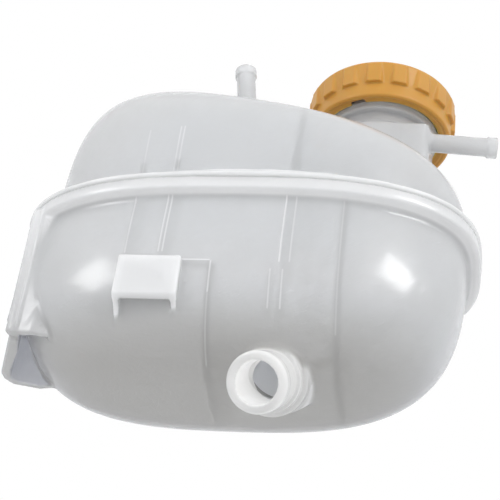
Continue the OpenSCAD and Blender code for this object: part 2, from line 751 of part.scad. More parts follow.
module upper_shell() {
    color(milky) translate(-origin) {
        difference() {
            union() {
                dome_outer();
                neck_solid();
                translate([0, 0, vent_box_foot_z])
                    linear_extrude(vent_box_top - vent_box_foot_z) vent_box_outline(0);
                placed_side_nipple() nipple_solid(side_nipple_length);
                placed_top_nipple() nipple_solid(top_nipple_length);
            }
            dome_inner();
            neck_bore_cut();
            difference() {
                translate([0, 0, neck_foot_z])
                    linear_extrude(vent_box_top - vent_box_wall - neck_foot_z)
                        vent_box_outline(vent_box_wall);
                translate([neck_x, neck_y, 0]) cylinder(d = neck_d, h = neck_top, $fn = round_fn);
            }
            placed_side_nipple() nipple_bore_cut(side_nipple_length, 6);
            placed_top_nipple() nipple_bore_cut(top_nipple_length, 8);
        }
        difference() {
            cross_wall(dome_baffle_x, baffle_wall) dome_section(dome_baffle_x);
            for (y = dome_hole_ys)
                flow_hole([dome_baffle_x, y, dome_hole_z]);
        }
        cross_wall(dome_baffle_x, wide_tongue) tongue_section(dome_baffle_x, wide_tongue_drop);
        cross_wall(slim_tongue_x, baffle_wall) tongue_section(slim_tongue_x, slim_tongue_drop);
        cross_wall(edge_tongue_x, baffle_wall) tongue_section(edge_tongue_x, slim_tongue_drop);
    }
}

// Places a piece on the neck's axis.
module on_neck() {
    translate(-origin) translate([neck_x, neck_y, 0]) children();
}

function around(r, a) = [r * cos(a), r * sin(a)];
function lobe_outline() =
    let (pitch = 360 / cap_lobes, root = pitch * cap_lobe_share / 2, tip = root * 0.62,
        base_r = cap_collar_d / 2 - 0.1, tip_r = cap_d / 2)
        [for (i = [0:cap_lobes - 1]) let (a = cap_turned + i * pitch)
            each [around(base_r, a - root), around(tip_r, a - tip), around(tip_r, a + tip),
                around(base_r, a + root)]];

module cap_shell() {
    collar_r = cap_collar_d / 2;
    top_edge = 1.4;
    lip_chamfer = 0.5;
    thread_z = cap_foot_z + 2;
    snap_outer_r = snap_ring_r + snap_ring_wall;
    color(orange) on_neck() {
        difference() {
            union() {
                rotate_extrude($fn = round_fn)
                    polygon([[0, cap_foot_z], [collar_r - lip_chamfer, cap_foot_z],
                        [collar_r, cap_foot_z + lip_chamfer], [collar_r, cap_top_z - top_edge / 2],
                        [collar_r - top_edge, cap_top_z], [0, cap_top_z]]);
                translate([0, 0, lobe_foot_z])
                    linear_extrude(cap_top_z - top_edge - lobe_foot_z) polygon(lobe_outline());
            }
            translate([0, 0, cap_foot_z - overlap])
                cylinder(r = cap_root_r, h = thread_z - cap_foot_z + overlap, $fn = round_fn);
            translate([0, 0, cap_foot_z - overlap])
                cylinder(d = cap_thread_d, h = cap_under_z - cap_foot_z + overlap, $fn = round_fn);
            translate([0, 0, thread_z + cap_thread_length])
                cylinder(r = cap_root_r, h = cap_under_z - thread_z - cap_thread_length, $fn = round_fn);
        }
        rotate_extrude($fn = round_fn)
            polygon([[lip_r, snap_lip_z - snap_lip_t], [snap_outer_r, snap_lip_z - snap_lip_t],
                [snap_outer_r, cap_under_z + 0.5], [snap_ring_r, cap_under_z + 0.5],
                [snap_ring_r, snap_lip_z], [lip_r, snap_lip_z]]);
    }
}

module valve_housing() {
    groove_foot = seal_z - seal_section / 2 - groove_side_gap;
    groove_top = seal_z + seal_section / 2 + groove_side_gap;
    window_z = neck_shelf_z + wall / 2 + 3;
    slot_r = retainer_r + groove_side_gap;
    head_top = head_z + housing_head;
    retainer_top = retainer_z + retainer_t;
    color(black) on_neck() difference() {
        rotate_extrude($fn = round_fn)
            polygon([[port_r, housing_foot_z], [housing_r - 1, housing_foot_z],
                [housing_r, housing_foot_z + 1], [housing_r, groove_foot], [seal_groove_r, groove_foot],
                [seal_groove_r, groove_top], [housing_r, groove_top],
                [housing_r, shoulder_z], [shoulder_r, shoulder_z], [shoulder_r, head_z], [head_r, head_z],
                [head_r, head_top], [housing_inner_r, head_top],
                [housing_inner_r, retainer_top], [slot_r, retainer_top],
                [slot_r, retainer_z], [housing_inner_r, retainer_z],
                [housing_inner_r, seat_z], [port_r, seat_z]]);
        for (a = [0:90:270])
            rotate([0, 0, a + 45])
                translate([housing_inner_r - 1, -window_width / 2, window_z])
                    cube([housing_wall + 2, window_width, window_height]);
    }
}

module neck_seal() {
    color(rubber) on_neck()
        translate([0, 0, seal_z])
            rotate_extrude($fn = round_fn)
                translate([seal_groove_r + seal_section / 2, 0]) circle(d = seal_section, $fn = 24);
}

module relief_plate() {
    color(brass) on_neck() difference() {
        union() {
            translate([0, 0, plate_z]) cylinder(r = relief_r, h = relief_plate_t, $fn = round_fn);
            translate([0, 0, plate_z])
                cylinder(r = relief_boss_r, h = boss_top_z - plate_z, $fn = small_fn);
        }
        translate([0, 0, plate_z - overlap])
            cylinder(r = stem_bore_r, h = boss_top_z - plate_z + 2 * overlap, $fn = small_fn);
        for (a = [0:120:240])
            rotate([0, 0, a])
                translate([3.2, 0, plate_z - overlap])
                    cylinder(r = 0.9, h = boss_top_z - plate_z + 2 * overlap, $fn = 24);
    }
}

module relief_gasket() {
    color(rubber) on_neck()
        translate([0, 0, gasket_z])
            difference() {
                cylinder(r = relief_r - 1, h = relief_gasket_t, $fn = round_fn);
                translate([0, 0, -overlap])
                    cylinder(r = port_r - 1, h = relief_gasket_t + 2 * overlap, $fn = round_fn);
            }
}

// A wire coil along +Z with a closed turn at each end, swept as one tube.
module coil(r, wire, height, turns, sides, per_turn) {
    count = (turns + 2) * per_turn;
    closed = wire * 1.02;
    rise = height - wire - 2 * closed;
    function wire_z(t) =
        t < 1 ? wire / 2 + closed * t
        : t > turns + 1 ? height - wire / 2 - closed * (turns + 2 - t)
        : wire / 2 + closed + rise * (t - 1) / turns;
    points = [for (k = [0:count], j = [0:sides - 1])
        let (t = k / per_turn, b = 360 * j / sides, rr = r + wire / 2 * cos(b))
            [rr * cos(360 * t), rr * sin(360 * t), wire_z(t) + wire / 2 * sin(b)]];
    skin = [for (k = [0:count - 1], j = [0:sides - 1])
        let (a = k * sides + j, b = k * sides + (j + 1) % sides)
            each [[a, b + sides, b], [a, a + sides, b + sides]]];
    start = [[for (j = [0:sides - 1]) j]];
    finish = [[for (j = [sides - 1:-1:0]) count * sides + j]];
    polyhedron(points, concat(skin, start, finish), convexity = 10);
}

module relief_spring() {
    color(steel) on_neck()
        translate([0, 0, plate_top_z])
            coil(relief_spring_r, relief_wire, retainer_height, relief_turns, 8, 16);
}

module spring_retainer() {
    spigot_r = relief_spring_r - relief_wire / 2 - running_gap;
    color(grey) on_neck() difference() {
        union() {
            translate([0, 0, retainer_z]) cylinder(r = retainer_r, h = retainer_t, $fn = round_fn);
            translate([0, 0, retainer_z - retainer_spigot])
                cylinder(r = spigot_r, h = retainer_t, $fn = round_fn);
        }
        translate([0, 0, retainer_z - retainer_spigot - overlap])
            cylinder(r = clip_r + 0.8, h = retainer_t + retainer_spigot + 2 * overlap, $fn = small_fn);
        for (a = [0:60:300])
            rotate([0, 0, a])
                translate([housing_inner_r - 4, 0, retainer_z - overlap])
                    cylinder(r = 1.6, h = retainer_t + 2 * overlap, $fn = 24);
    }
}

module vacuum_valve() {
    color(brass) on_neck() {
        translate([0, 0, vacuum_top_z - vacuum_t]) cylinder(r = vacuum_r, h = vacuum_t, $fn = small_fn);
        difference() {
            translate([0, 0, vacuum_top_z - vacuum_t / 2])
                cylinder(r = stem_r, h = stem_top_z - vacuum_top_z + vacuum_t / 2, $fn = small_fn);
            translate([0, 0, clip_z])
                difference() {
                    cylinder(r = stem_r + 1, h = clip_t, $fn = small_fn);
                    translate([0, 0, -overlap])
                        cylinder(r = stem_r - clip_groove, h = clip_t + 2 * overlap, $fn = small_fn);
                }
        }
    }
}

module vacuum_face() {
    color(rubber) on_neck()
        translate([0, 0, vacuum_top_z])
            difference() {
                cylinder(r = vacuum_r - 0.4, h = vacuum_face_t, $fn = small_fn);
                translate([0, 0, -overlap])
                    cylinder(r = stem_r, h = vacuum_face_t + 2 * overlap, $fn = small_fn);
            }
}

module vacuum_spring() {
    color(steel) on_neck()
        translate([0, 0, boss_top_z])
            coil(stem_bore_r + vacuum_wire, vacuum_wire, clip_z - boss_top_z, vacuum_turns, 6, 12);
}

module stem_clip() {
    color(steel) on_neck()
        translate([0, 0, clip_z])
            difference() {
                cylinder(r = clip_r, h = clip_t, $fn = small_fn);
                translate([0, 0, -overlap])
                    cylinder(r = stem_r - clip_groove, h = clip_t + 2 * overlap, $fn = small_fn);
                translate([0, -0.5, -overlap]) cube([clip_r + 1, 1, clip_t + 2 * overlap]);
            }
}

lower_shell();
upper_shell();
cap_shell();
valve_housing();
neck_seal();
relief_plate();
relief_gasket();
relief_spring();
spring_retainer();
vacuum_valve();
vacuum_face();
vacuum_spring();
stem_clip();
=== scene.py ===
"""The looks of the coolant expansion tank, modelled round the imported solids.

The moulded shells are worked out as distance fields in millimetres, from the centre of the weld
flange, and meshed here. Everything that Blender gets is in metres in the frame of the solids.
"""

import json
import math

import bpy
import numpy as np
from mathutils import Matrix, Vector


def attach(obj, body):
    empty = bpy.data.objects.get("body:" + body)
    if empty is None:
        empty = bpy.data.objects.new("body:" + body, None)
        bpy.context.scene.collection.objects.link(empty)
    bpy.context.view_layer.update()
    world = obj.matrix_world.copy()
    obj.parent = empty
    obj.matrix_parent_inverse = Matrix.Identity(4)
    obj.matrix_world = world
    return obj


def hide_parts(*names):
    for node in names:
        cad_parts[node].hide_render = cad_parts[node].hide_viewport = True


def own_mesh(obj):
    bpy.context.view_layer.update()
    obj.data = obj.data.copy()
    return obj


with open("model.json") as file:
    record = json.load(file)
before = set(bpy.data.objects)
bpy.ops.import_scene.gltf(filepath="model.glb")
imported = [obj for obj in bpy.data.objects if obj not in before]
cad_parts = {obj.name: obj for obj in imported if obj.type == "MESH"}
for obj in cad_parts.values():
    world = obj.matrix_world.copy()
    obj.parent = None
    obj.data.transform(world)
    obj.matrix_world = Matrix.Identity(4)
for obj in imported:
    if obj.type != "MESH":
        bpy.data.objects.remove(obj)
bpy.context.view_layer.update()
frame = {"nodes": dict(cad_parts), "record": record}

MM = 0.001
# The frame's origin, seen from the centre of the weld flange, mm
ORIGIN = np.array([-86.0, -14.0, -66.0])

# Driving sizes of the body, mm
HALF_LENGTH = 97.5
HALF_DEPTH = 57.0
LOWER_HEIGHT = 80.0
UPPER_HEIGHT = 66.0
WALL = 3.0
LOWER_RIM = 5.5
UPPER_RIM = 2.5
LOWER_LEDGE = 5.0
DOME_LEDGE_LEFT = 9.0
DOME_LEDGE_RIGHT = 5.0
DOME_LEDGE_FRONT = 3.0
DOME_DRAFT = 3.0
FLOOR_FORWARD = 11.5
FLOOR_LEFT = 4.0
DOME_FORWARD = 5.0
DOME_FALL = 0.33
FLANGE_SQUARE = 2.75
DOME_SQUARE = 2.3
LOWER_FRONT_SQUARE = 3.4
LOWER_END_SQUARE = 3.0
DOME_FRONT_SQUARE = 3.9
DOME_END_SQUARE = 3.0

# Inner walls, mm
BAFFLE_WALL = 2.2
LOWER_BAFFLE_X = 43.0
CHAMBER_WALL_X = -7.0
CHAMBER_TOP = -41.0
LEDGE_LEFT = CHAMBER_WALL_X - 24.0
LEDGE_REACH = 4.0
RIB_WALL = 1.4
DOME_BAFFLE_X = 22.0
WIDE_TONGUE = 4.0
WIDE_TONGUE_DROP = 42.0
SLIM_TONGUES = (-27.5, -42.0)
SLIM_TONGUE_DROP = 38.0
TONGUE_REACH = 13.0
TONGUE_ROOT = 14.0
TONGUE_GAP = 0.6
GUIDE_RIBS = (DOME_BAFFLE_X - 5.1, DOME_BAFFLE_X - 0.3)
GUIDE_TOP = -44.0
GUIDE_FOOT = -61.5
GUIDE_REACH = 2.0
FLOOR_RIB_Y = -32.0
FLOOR_RIB_HEIGHT = 2.4
FLOW_HOLE_R = 6.0

# Outlet, mm
OUTLET_ROOT = np.array([18.4, -29.3, -78.6])
OUTLET_TURN = math.radians(10.0)
OUTLET_DIP = math.radians(36.0)
OUTLET_LENGTH = 22.0
OUTLET_GRIP = 15.5
OUTLET_R = 11.5
OUTLET_BEAD_R = 12.0
OUTLET_BEAD = 6.0
OUTLET_BORE_R = 8.4
OUTLET_STOP_R = 13.0
OUTLET_COLLAR_R = 14.75
OUTLET_STUB = 3.0

# Nipples, mm
NIPPLE_R = 4.25
NIPPLE_BEAD_R = 4.9
NIPPLE_BEAD = 4.6
NIPPLE_BORE_R = 2.8
SIDE_NIPPLE_LENGTH = 30.5
SIDE_NIPPLE_TURN = math.radians(6.5)
TOP_NIPPLE_ROOT = np.array([-7.3, -20.0, 65.04])
TOP_NIPPLE_LENGTH = 28.7
TOP_NIPPLE_LEAN = math.radians(7.4)

# Filler neck and vent box, mm
NECK_X = 49.5
NECK_Y = 22.0
NECK_TOP = 101.8
NECK_SHELF = 87.0
NECK_R = 23.25
NECK_CORE_R = 26.4
NECK_BORE_R = 20.25
NECK_MOUTH_R = 23.4
NECK_FOOT = 10.0
VENT_TOP = 78.0
VENT_FRONT = NECK_Y - NECK_R - 2.0
VENT_RIGHT = NECK_X + 24.05
VENT_LEFT = VENT_RIGHT - 37.0
VENT_WALL = 2.5
THREAD_PITCH = 4.0

# Cap, mm
CAP_FOOT = 87.5
CAP_TOP = 107.5
CAP_UNDER = 105.3
LOBE_FOOT = 95.0
LOBE_TOP = 106.1
LOBE_R = 34.9
COLLAR_R = 33.0
CAP_FLARE = 1.6
SKIRT_INNER_R = 31.0
LOBES = 18
LOBE_TURN = math.radians(6.5)
LOBE_SHARE = 0.78
CAP_THREAD_FOOT = 88.1
CAP_THREAD_START = 90.1
CAP_THREAD_TOP = 99.5
CAP_THREAD_R = 27.5
CAP_THREAD_ROOT_R = 29.6
THREAD_NOTCH = math.radians(-109.0)
NOTCH_HALF = 3.4
SNAP_LIP_R = 24.9
SNAP_RING_R = 25.8
SNAP_RING_WALL = 1.4
SNAP_FOOT = 102.2

# Side pocket, mm
POCKET_X = -HALF_LENGTH
POCKET_DROP = 66.0
POCKET_DEPTH = 32.0
POCKET_WALL = 2.5
RAIL_DROP = 51.0
RAIL_FOOT = 64.5
RAIL_PROUD = 2.0
SNAP_LENGTH = 9.0
POCKET_FRONT_DROP = 64.2
POCKET_FRONT_SLOPE = 0.24
POCKET_CORNER = (POCKET_X + 10.0, -35.5)
POCKET_ROOT = (POCKET_X + 30.0, -28.0)
POCKET_FRONT = math.dist(POCKET_CORNER, POCKET_ROOT)
POCKET_OUTLINE = [POCKET_ROOT, (POCKET_X + 28.6, -33.2), (POCKET_X + 25.0, -36.8),
                  (POCKET_X + 19.5, -38.3), (POCKET_X + 10.2, -36.7), (POCKET_X - 0.5, -7.0),
                  (POCKET_X - 0.2, -2.5), (POCKET_X + 2.6, 1.5), (POCKET_X + 13.5, 4.8),
                  (POCKET_X + 25.5, 2.5)]
POCKET_INSIDE = [(POCKET_X + 30.0, -25.5), (POCKET_X + 26.8, -31.4), (POCKET_X + 23.8, -34.4),
                 (POCKET_X + 19.2, -35.6), (POCKET_X + 13.2, -34.0), (POCKET_X + 10.2, -22.5),
                 (POCKET_X + 4.0, -8.8), (POCKET_X + 2.9, -3.4), (POCKET_X + 5.1, -0.6),
                 (POCKET_X + 13.5, 2.3), (POCKET_X + 25.5, 0.0)]

# Front socket, mm
SOCKET_X = -30.6
SOCKET_HALF = 12.4
SOCKET_DRAFT = 0.3
SOCKET_TOP = -41.2
SOCKET_FOOT = -59.2
SOCKET_FACE = -57.6
SOCKET_WALL = 2.0
SOCKET_PLATE = 3.0
SOCKET_FOOT_SLOPE = 0.6
SOCKET_CHEEK_RUN = 8.0

# Heights of the weld and of the bottom in the frame, and the front half's edge, m
WELD_Z = 0.066
BOTTOM_Z = -0.014
FRONT_Y = 0.0

# Where inner walls and ribs meet the front: the axis across the line, its place there, its two
# ends along the other axis, m, and its strength
FAINT_LINES = (("X", 0.129, -0.002, 0.062, 0.22), ("X", 0.0793, -0.012, 0.025, 0.25),
               ("X", 0.0793, 0.010, 0.025, 0.45), ("Z", 0.0247, 0.060, 0.0796, 0.45),
               ("X", 0.1029, 0.0045, 0.022, 0.35), ("X", 0.1077, 0.0045, 0.022, 0.35),
               ("X", 0.106, 0.024, 0.062, 0.45), ("X", 0.110, 0.024, 0.062, 0.3),
               ("X", 0.0577, 0.028, 0.062, 0.4), ("X", 0.0593, 0.028, 0.062, 0.4),
               ("X", 0.0577, 0.066, 0.098, 0.25), ("X", 0.0593, 0.066, 0.098, 0.25),
               ("X", 0.044, 0.028, 0.062, 0.35), ("X", 0.044, 0.066, 0.098, 0.2))

# Cell sizes of the cap's and the shells' meshes, and the triangles that each keeps
CAP_CELL = 0.5
CELL = 0.75
MOST_TRIANGLES = 190000

# How much whiter the weld flange and the socket are, the outlet, the pocket, and the neck, vent box
# and nipples, from 0 to 1
PROUD_SHARE = 0.55
OUTLET_SHARE = 0.4
POCKET_SHARE = 0.12
NECK_SHARE = 0.1
# How far in the pocket's plastic reaches, where it starts below the weld and over what length it
# fades, and how high the flange's plastic reaches, mm
POCKET_REACH = 34.0
POCKET_START = -9.0
POCKET_FADE = 14.0
FLANGE_REACH = 8.0


def union_round(a, b, r):
    """Joins two distances with a fillet of radius r."""
    if r <= 0:
        return np.minimum(a, b)
    u = np.maximum(r - a, 0)
    v = np.maximum(r - b, 0)
    return np.maximum(r, np.minimum(a, b)) - np.sqrt(u * u + v * v)


def common_round(a, b, r):
    """What two distances share, with its edge rounded to radius r."""
    if r <= 0:
        return np.maximum(a, b)
    u = np.maximum(r + a, 0)
    v = np.maximum(r + b, 0)
    return np.minimum(-r, np.maximum(a, b)) + np.sqrt(u * u + v * v)


def band(v, low, high):
    """Distance to the layer between two values."""
    return np.abs(v - (low + high) / 2) - (high - low) / 2


def rod(radial, along, r, low, high, edge):
    """Distance to a round rod with its end edges rounded."""
    return common_round(radial - r, band(along, low, high), edge)


def outline_distance(x, y, points):
    """Distance to a closed outline in the XY plane."""
    nearest = None
    inside = np.zeros(np.broadcast(x, y).shape, dtype=bool)
    for (ax, ay), (bx, by) in zip(points, points[1:] + points[:1]):
        ex, ey = bx - ax, by - ay
        wx, wy = x - ax, y - ay
        t = np.clip((wx * ex + wy * ey) / (ex * ex + ey * ey), 0, 1)
        near = (wx - ex * t) ** 2 + (wy - ey * t) ** 2
        nearest = near if nearest is None else np.minimum(nearest, near)
        if ay != by:
            crosses = (ay > y) != (by > y)
            inside ^= crosses & (wx < wy * ex / ey)
    return np.where(inside, -1, 1) * np.sqrt(nearest)


def true_distance(shape, x, y, z):
    """Turns a level function into a distance by its own slope."""
    step = 0.2
    value = shape(x, y, z)
    slope = (shape(x + step, y, z) - value) ** 2
    slope = slope + (shape(x, y + step, z) - value) ** 2
    slope = slope + (shape(x, y, z + step) - value) ** 2
    return value * step / np.sqrt(np.maximum(slope, 1e-12))


def lower_level(x, y, z):
    s = np.clip(-z / LOWER_HEIGHT, 0, 2)
    a = (np.abs(x + FLOOR_LEFT * s) / (HALF_LENGTH - LOWER_LEDGE)) ** FLANGE_SQUARE
    b = (np.abs(y + FLOOR_FORWARD * s) / (HALF_DEPTH - LOWER_LEDGE)) ** FLANGE_SQUARE
    total = np.maximum(a + b, 1e-9)
    m = (LOWER_FRONT_SQUARE * a + LOWER_END_SQUARE * b) / total
    return (total ** (m / FLANGE_SQUARE) + s ** m) ** (1 / m) - 1


def dome_level(x, y, z):
    height = UPPER_HEIGHT * (1 - DOME_FALL * x / (HALF_LENGTH - LOWER_LEDGE))
    s = np.clip(z / height, 0, 2)
    shift = (DOME_LEDGE_LEFT - DOME_LEDGE_RIGHT) / 2 * np.maximum(1 - s ** DOME_FRONT_SQUARE, 0)
    half = HALF_LENGTH - (DOME_LEDGE_LEFT + DOME_LEDGE_RIGHT) / 2 - DOME_DRAFT * s
    deep = HALF_DEPTH - DOME_LEDGE_FRONT - DOME_DRAFT * s
    a = (np.abs(x - shift) / half) ** DOME_SQUARE
    b = (np.abs(y + DOME_FORWARD * s) / deep) ** DOME_SQUARE
    total = np.maximum(a + b, 1e-9)
    m = (DOME_FRONT_SQUARE * a + DOME_END_SQUARE * b) / total
    return (total ** (m / DOME_SQUARE) + s ** m) ** (1 / m) - 1


def flange_level(x, y, z):
    a = (np.abs(x) / HALF_LENGTH) ** FLANGE_SQUARE
    b = (np.abs(y) / HALF_DEPTH) ** FLANGE_SQUARE
    return np.maximum(a + b, 1e-9) ** (1 / FLANGE_SQUARE) - 1


def on_axis(x, y, z, root, axis):
    """Distance along an axis from its root, and distance out from the axis."""
    dx, dy, dz = x - root[0], y - root[1], z - root[2]
    along = dx * axis[0] + dy * axis[1] + dz * axis[2]
    radial = np.sqrt(np.maximum(dx * dx + dy * dy + dz * dz - along * along, 0))
    return radial, along


class Field:
    """A solid as a list of joins and cuts, each with the box that it works in."""

    def __init__(self, base):
        self.base = base
        self.steps = []

    def join(self, shape, fillet=0.0, box=None):
        self.steps.append((union_round, 1, shape, fillet, box))

    def cut(self, shape, edge=0.0, box=None):
        self.steps.append((common_round, -1, shape, edge, box))

    def value(self, x, y, z):
        lows = (x.min(), y.min(), z.min())
        highs = (x.max(), y.max(), z.max())
        margin = 4.0
        result = self.base(x, y, z)
        for combine, sign, shape, r, box in self.steps:
            if box is not None:
                apart = [box[0][i] - margin > highs[i] or box[1][i] + margin < lows[i] for i in range(3)]
                if any(apart):
                    continue
            result = combine(result, sign * shape(x, y, z), r)
        return result


def sample(field, low, high, cell):
    """Samples a field over a box, a block at a time."""
    counts = [int(math.ceil((high[i] - low[i]) / cell)) + 1 for i in range(3)]
    axes = [np.float32(low[i]) + np.arange(counts[i], dtype=np.float32) * np.float32(cell) for i in range(3)]
    values = np.empty(counts, dtype=np.float32)
    block = 36
    for i in range(0, counts[0], block):
        x = axes[0][i:i + block, None, None]
        for j in range(0, counts[1], block):
            y = axes[1][None, j:j + block, None]
            for k in range(0, counts[2], block):
                z = axes[2][None, None, k:k + block]
                values[i:i + block, j:j + block, k:k + block] = field.value(x, y, z)
    return axes, values


def surface_net(axes, values):
    """One point in each cell that the surface crosses, and a quad round each crossed grid edge."""
    solid = values < 0
    corners = [(i, j, k) for i in (0, 1) for j in (0, 1) for k in (0, 1)]
    nx, ny, nz = (n - 1 for n in values.shape)
    count = np.zeros((nx, ny, nz), dtype=np.int8)
    for i, j, k in corners:
        count += solid[i:i + nx, j:j + ny, k:k + nz]
    cells = np.argwhere((count > 0) & (count < 8))
    index = np.full((nx, ny, nz), -1, dtype=np.int32)
    index[tuple(cells.T)] = np.arange(len(cells))
    at = {c: values[cells[:, 0] + c[0], cells[:, 1] + c[1], cells[:, 2] + c[2]] for c in corners}
    total = np.zeros((len(cells), 3))
    hits = np.zeros(len(cells))
    for a in corners:
        for axis in range(3):
            if a[axis]:
                continue
            b = tuple(1 if n == axis else a[n] for n in range(3))
            crossed = (at[a] < 0) != (at[b] < 0)
            share = np.where(crossed, at[a] / np.where(crossed, at[a] - at[b], 1), 0)
            point = np.tile(np.array(a, dtype=float), (len(cells), 1))
            point[:, axis] = share
            total[crossed] += point[crossed]
            hits[crossed] += 1
    low = np.array([ax[0] for ax in axes])
    cell = float(axes[0][1] - axes[0][0])
    points = low + (cells + total / hits[:, None]) * cell
    quads = []
    for axis in range(3):
        u, v = (axis + 1) % 3, (axis + 2) % 3
        first = [slice(None)] * 3
        second = [slice(None)] * 3
        first[axis] = slice(0, -1)
        second[axis] = slice(1, None)
        crossed = solid[tuple(first)] != solid[tuple(second)]
        edges = np.argwhere(crossed)
        edges = edges[(edges[:, u] > 0) & (edges[:, v] > 0)]
        edges = edges[(edges[:, u] < values.shape[u] - 1) & (edges[:, v] < values.shape[v] - 1)]
        leaving = solid[tuple(edges.T)]
        ring = []
        for du, dv in ((0, 0), (-1, 0), (-1, -1), (0, -1)):
            cell_at = edges.copy()
            cell_at[:, u] += du
            cell_at[:, v] += dv
            ring.append(index[tuple(cell_at.T)])
        ring = np.stack(ring, axis=1)
        ring[~leaving] = ring[~leaving][:, ::-1]
        quads.append(ring)
    return points, np.concatenate(quads)


def settle(field, points, reach):
    """Moves the points on to the surface of the field, by at most reach."""
    step = 0.05
    for _ in range(2):
        x, y, z = points.T
        value = field.value(x, y, z)
        slope = np.stack([field.value(x + step, y, z) - value, field.value(x, y + step, z) - value,
                          field.value(x, y, z + step) - value], axis=1) / step
        size = np.maximum((slope ** 2).sum(axis=1), 0.25)
        move = -(value / size)[:, None] * slope
        length = np.sqrt((move ** 2).sum(axis=1))
        move *= np.minimum(1, reach / np.maximum(length, 1e-9))[:, None]
        points = points + move
    return points


def to_frame(points):
    """Millimetres from the flange centre to metres in the frame."""
    return (np.asarray(points) - ORIGIN) * MM


def mesh_object(name, points, faces, body, material):
    mesh = bpy.data.meshes.new(name)
    mesh.from_pydata(to_frame(points).tolist(), [], faces.tolist() if hasattr(faces, "tolist") else faces)
    mesh.validate()
    mesh.update()
    obj = bpy.data.objects.new(name, mesh)
    bpy.context.scene.collection.objects.link(obj)
    mesh.materials.append(material)
    mesh.polygons.foreach_set("use_smooth", [True] * len(mesh.polygons))
    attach(obj, body)
    return obj


def apply_modifiers(obj):
    graph = bpy.context.evaluated_depsgraph_get()
    mesh = bpy.data.meshes.new_from_object(obj.evaluated_get(graph))
    old = obj.data
    obj.modifiers.clear()
    obj.data = mesh
    bpy.data.meshes.remove(old)
    mesh.name = obj.name


def mark(mesh, name, share):
    """Stores a share from 0 to 1 at each point of a mesh."""
    places = np.empty(len(mesh.vertices) * 3)
    mesh.vertices.foreach_get("co", places)
    x, y, z = (places.reshape(-1, 3) / MM + ORIGIN).T
    values = mesh.attributes.new(name, "FLOAT", "POINT")
    values.data.foreach_set("value", share(x, y, z))


def proud_share(wall, x, y, z):
    """How far a point stands proud of the plain wall, where the plastic looks whiter."""
    return np.clip((wall(x, y, z) - 0.4) / 1.2, 0, 1)


def field_object(name, field, low, high, cell, body, material):
    axes, values = sample(field, low, high, cell)
    points, quads = surface_net(axes, values)
    points = settle(field, points, cell * 0.5)
    obj = mesh_object(name, points, quads, body, material)
    triangles = 2 * len(quads)
    if triangles > MOST_TRIANGLES:
        thin = obj.modifiers.new("thin", "DECIMATE")
        thin.ratio = MOST_TRIANGLES / triangles
        apply_modifiers(obj)
    return obj


def lower_wall(x, y, z):
    return true_distance(lower_level, x, y, z)


def dome_wall(x, y, z):
    return true_distance(dome_level, x, y, z)


def flange_edge(x, y, z):
    return true_distance(flange_level, x, y, z + 0 * x)


def outlet_axis():
    level = math.cos(OUTLET_DIP)
    return np.array([-math.sin(OUTLET_TURN) * level, -math.cos(OUTLET_TURN) * level, -math.sin(OUTLET_DIP)])


def pocket_room(x, y, z):
    plan = outline_distance(x, y, POCKET_INSIDE)
    return common_round(plan, band(z, -POCKET_DROP - 9, POCKET_DEPTH - POCKET_DROP), 1.0)


def pocket_shade(x, y, z):
    """Where the pocket's own walls face its room, which are painted darker there as shade."""
    inside = np.clip((0.5 - pocket_room(x, y, z)) / 0.6, 0, 1)
    return inside * np.clip((lower_wall(x, y, z) - 0.5) / 1.0, 0, 1)


def painted_bore_light_share(x, y, z):
    """Where the outlet's bore is painted with a glow, which stands in for light coming through its wall."""
    radial, along = on_axis(x, y, z, OUTLET_ROOT, outlet_axis())
    inside = np.clip((OUTLET_BORE_R + 0.7 - radial) / 0.4, 0, 1)
    return inside * np.clip((OUTLET_LENGTH - 0.2 - along) / 1.2, 0, 1) * (along > -OUTLET_STUB - 0.6)


def lower_share(x, y, z):
    """How white the lower shell's plastic looks."""
    radial, along = on_axis(x, y, z, OUTLET_ROOT, outlet_axis())
    at_outlet = (radial < OUTLET_COLLAR_R + 1) & (along > -OUTLET_STUB)
    most = np.where(at_outlet, OUTLET_SHARE, PROUD_SHARE)
    beside = np.clip((POCKET_X + POCKET_REACH - x) / POCKET_FADE, 0, 1)
    at_pocket = beside * np.clip((POCKET_START - z) / POCKET_FADE, 0, 1)
    return proud_share(lower_wall, x, y, z) * (most + (POCKET_SHARE - most) * at_pocket)


def upper_share(x, y, z):
    """How white the upper shell's plastic looks."""
    return proud_share(dome_wall, x, y, z) * np.where(z < FLANGE_REACH, PROUD_SHARE, NECK_SHARE)


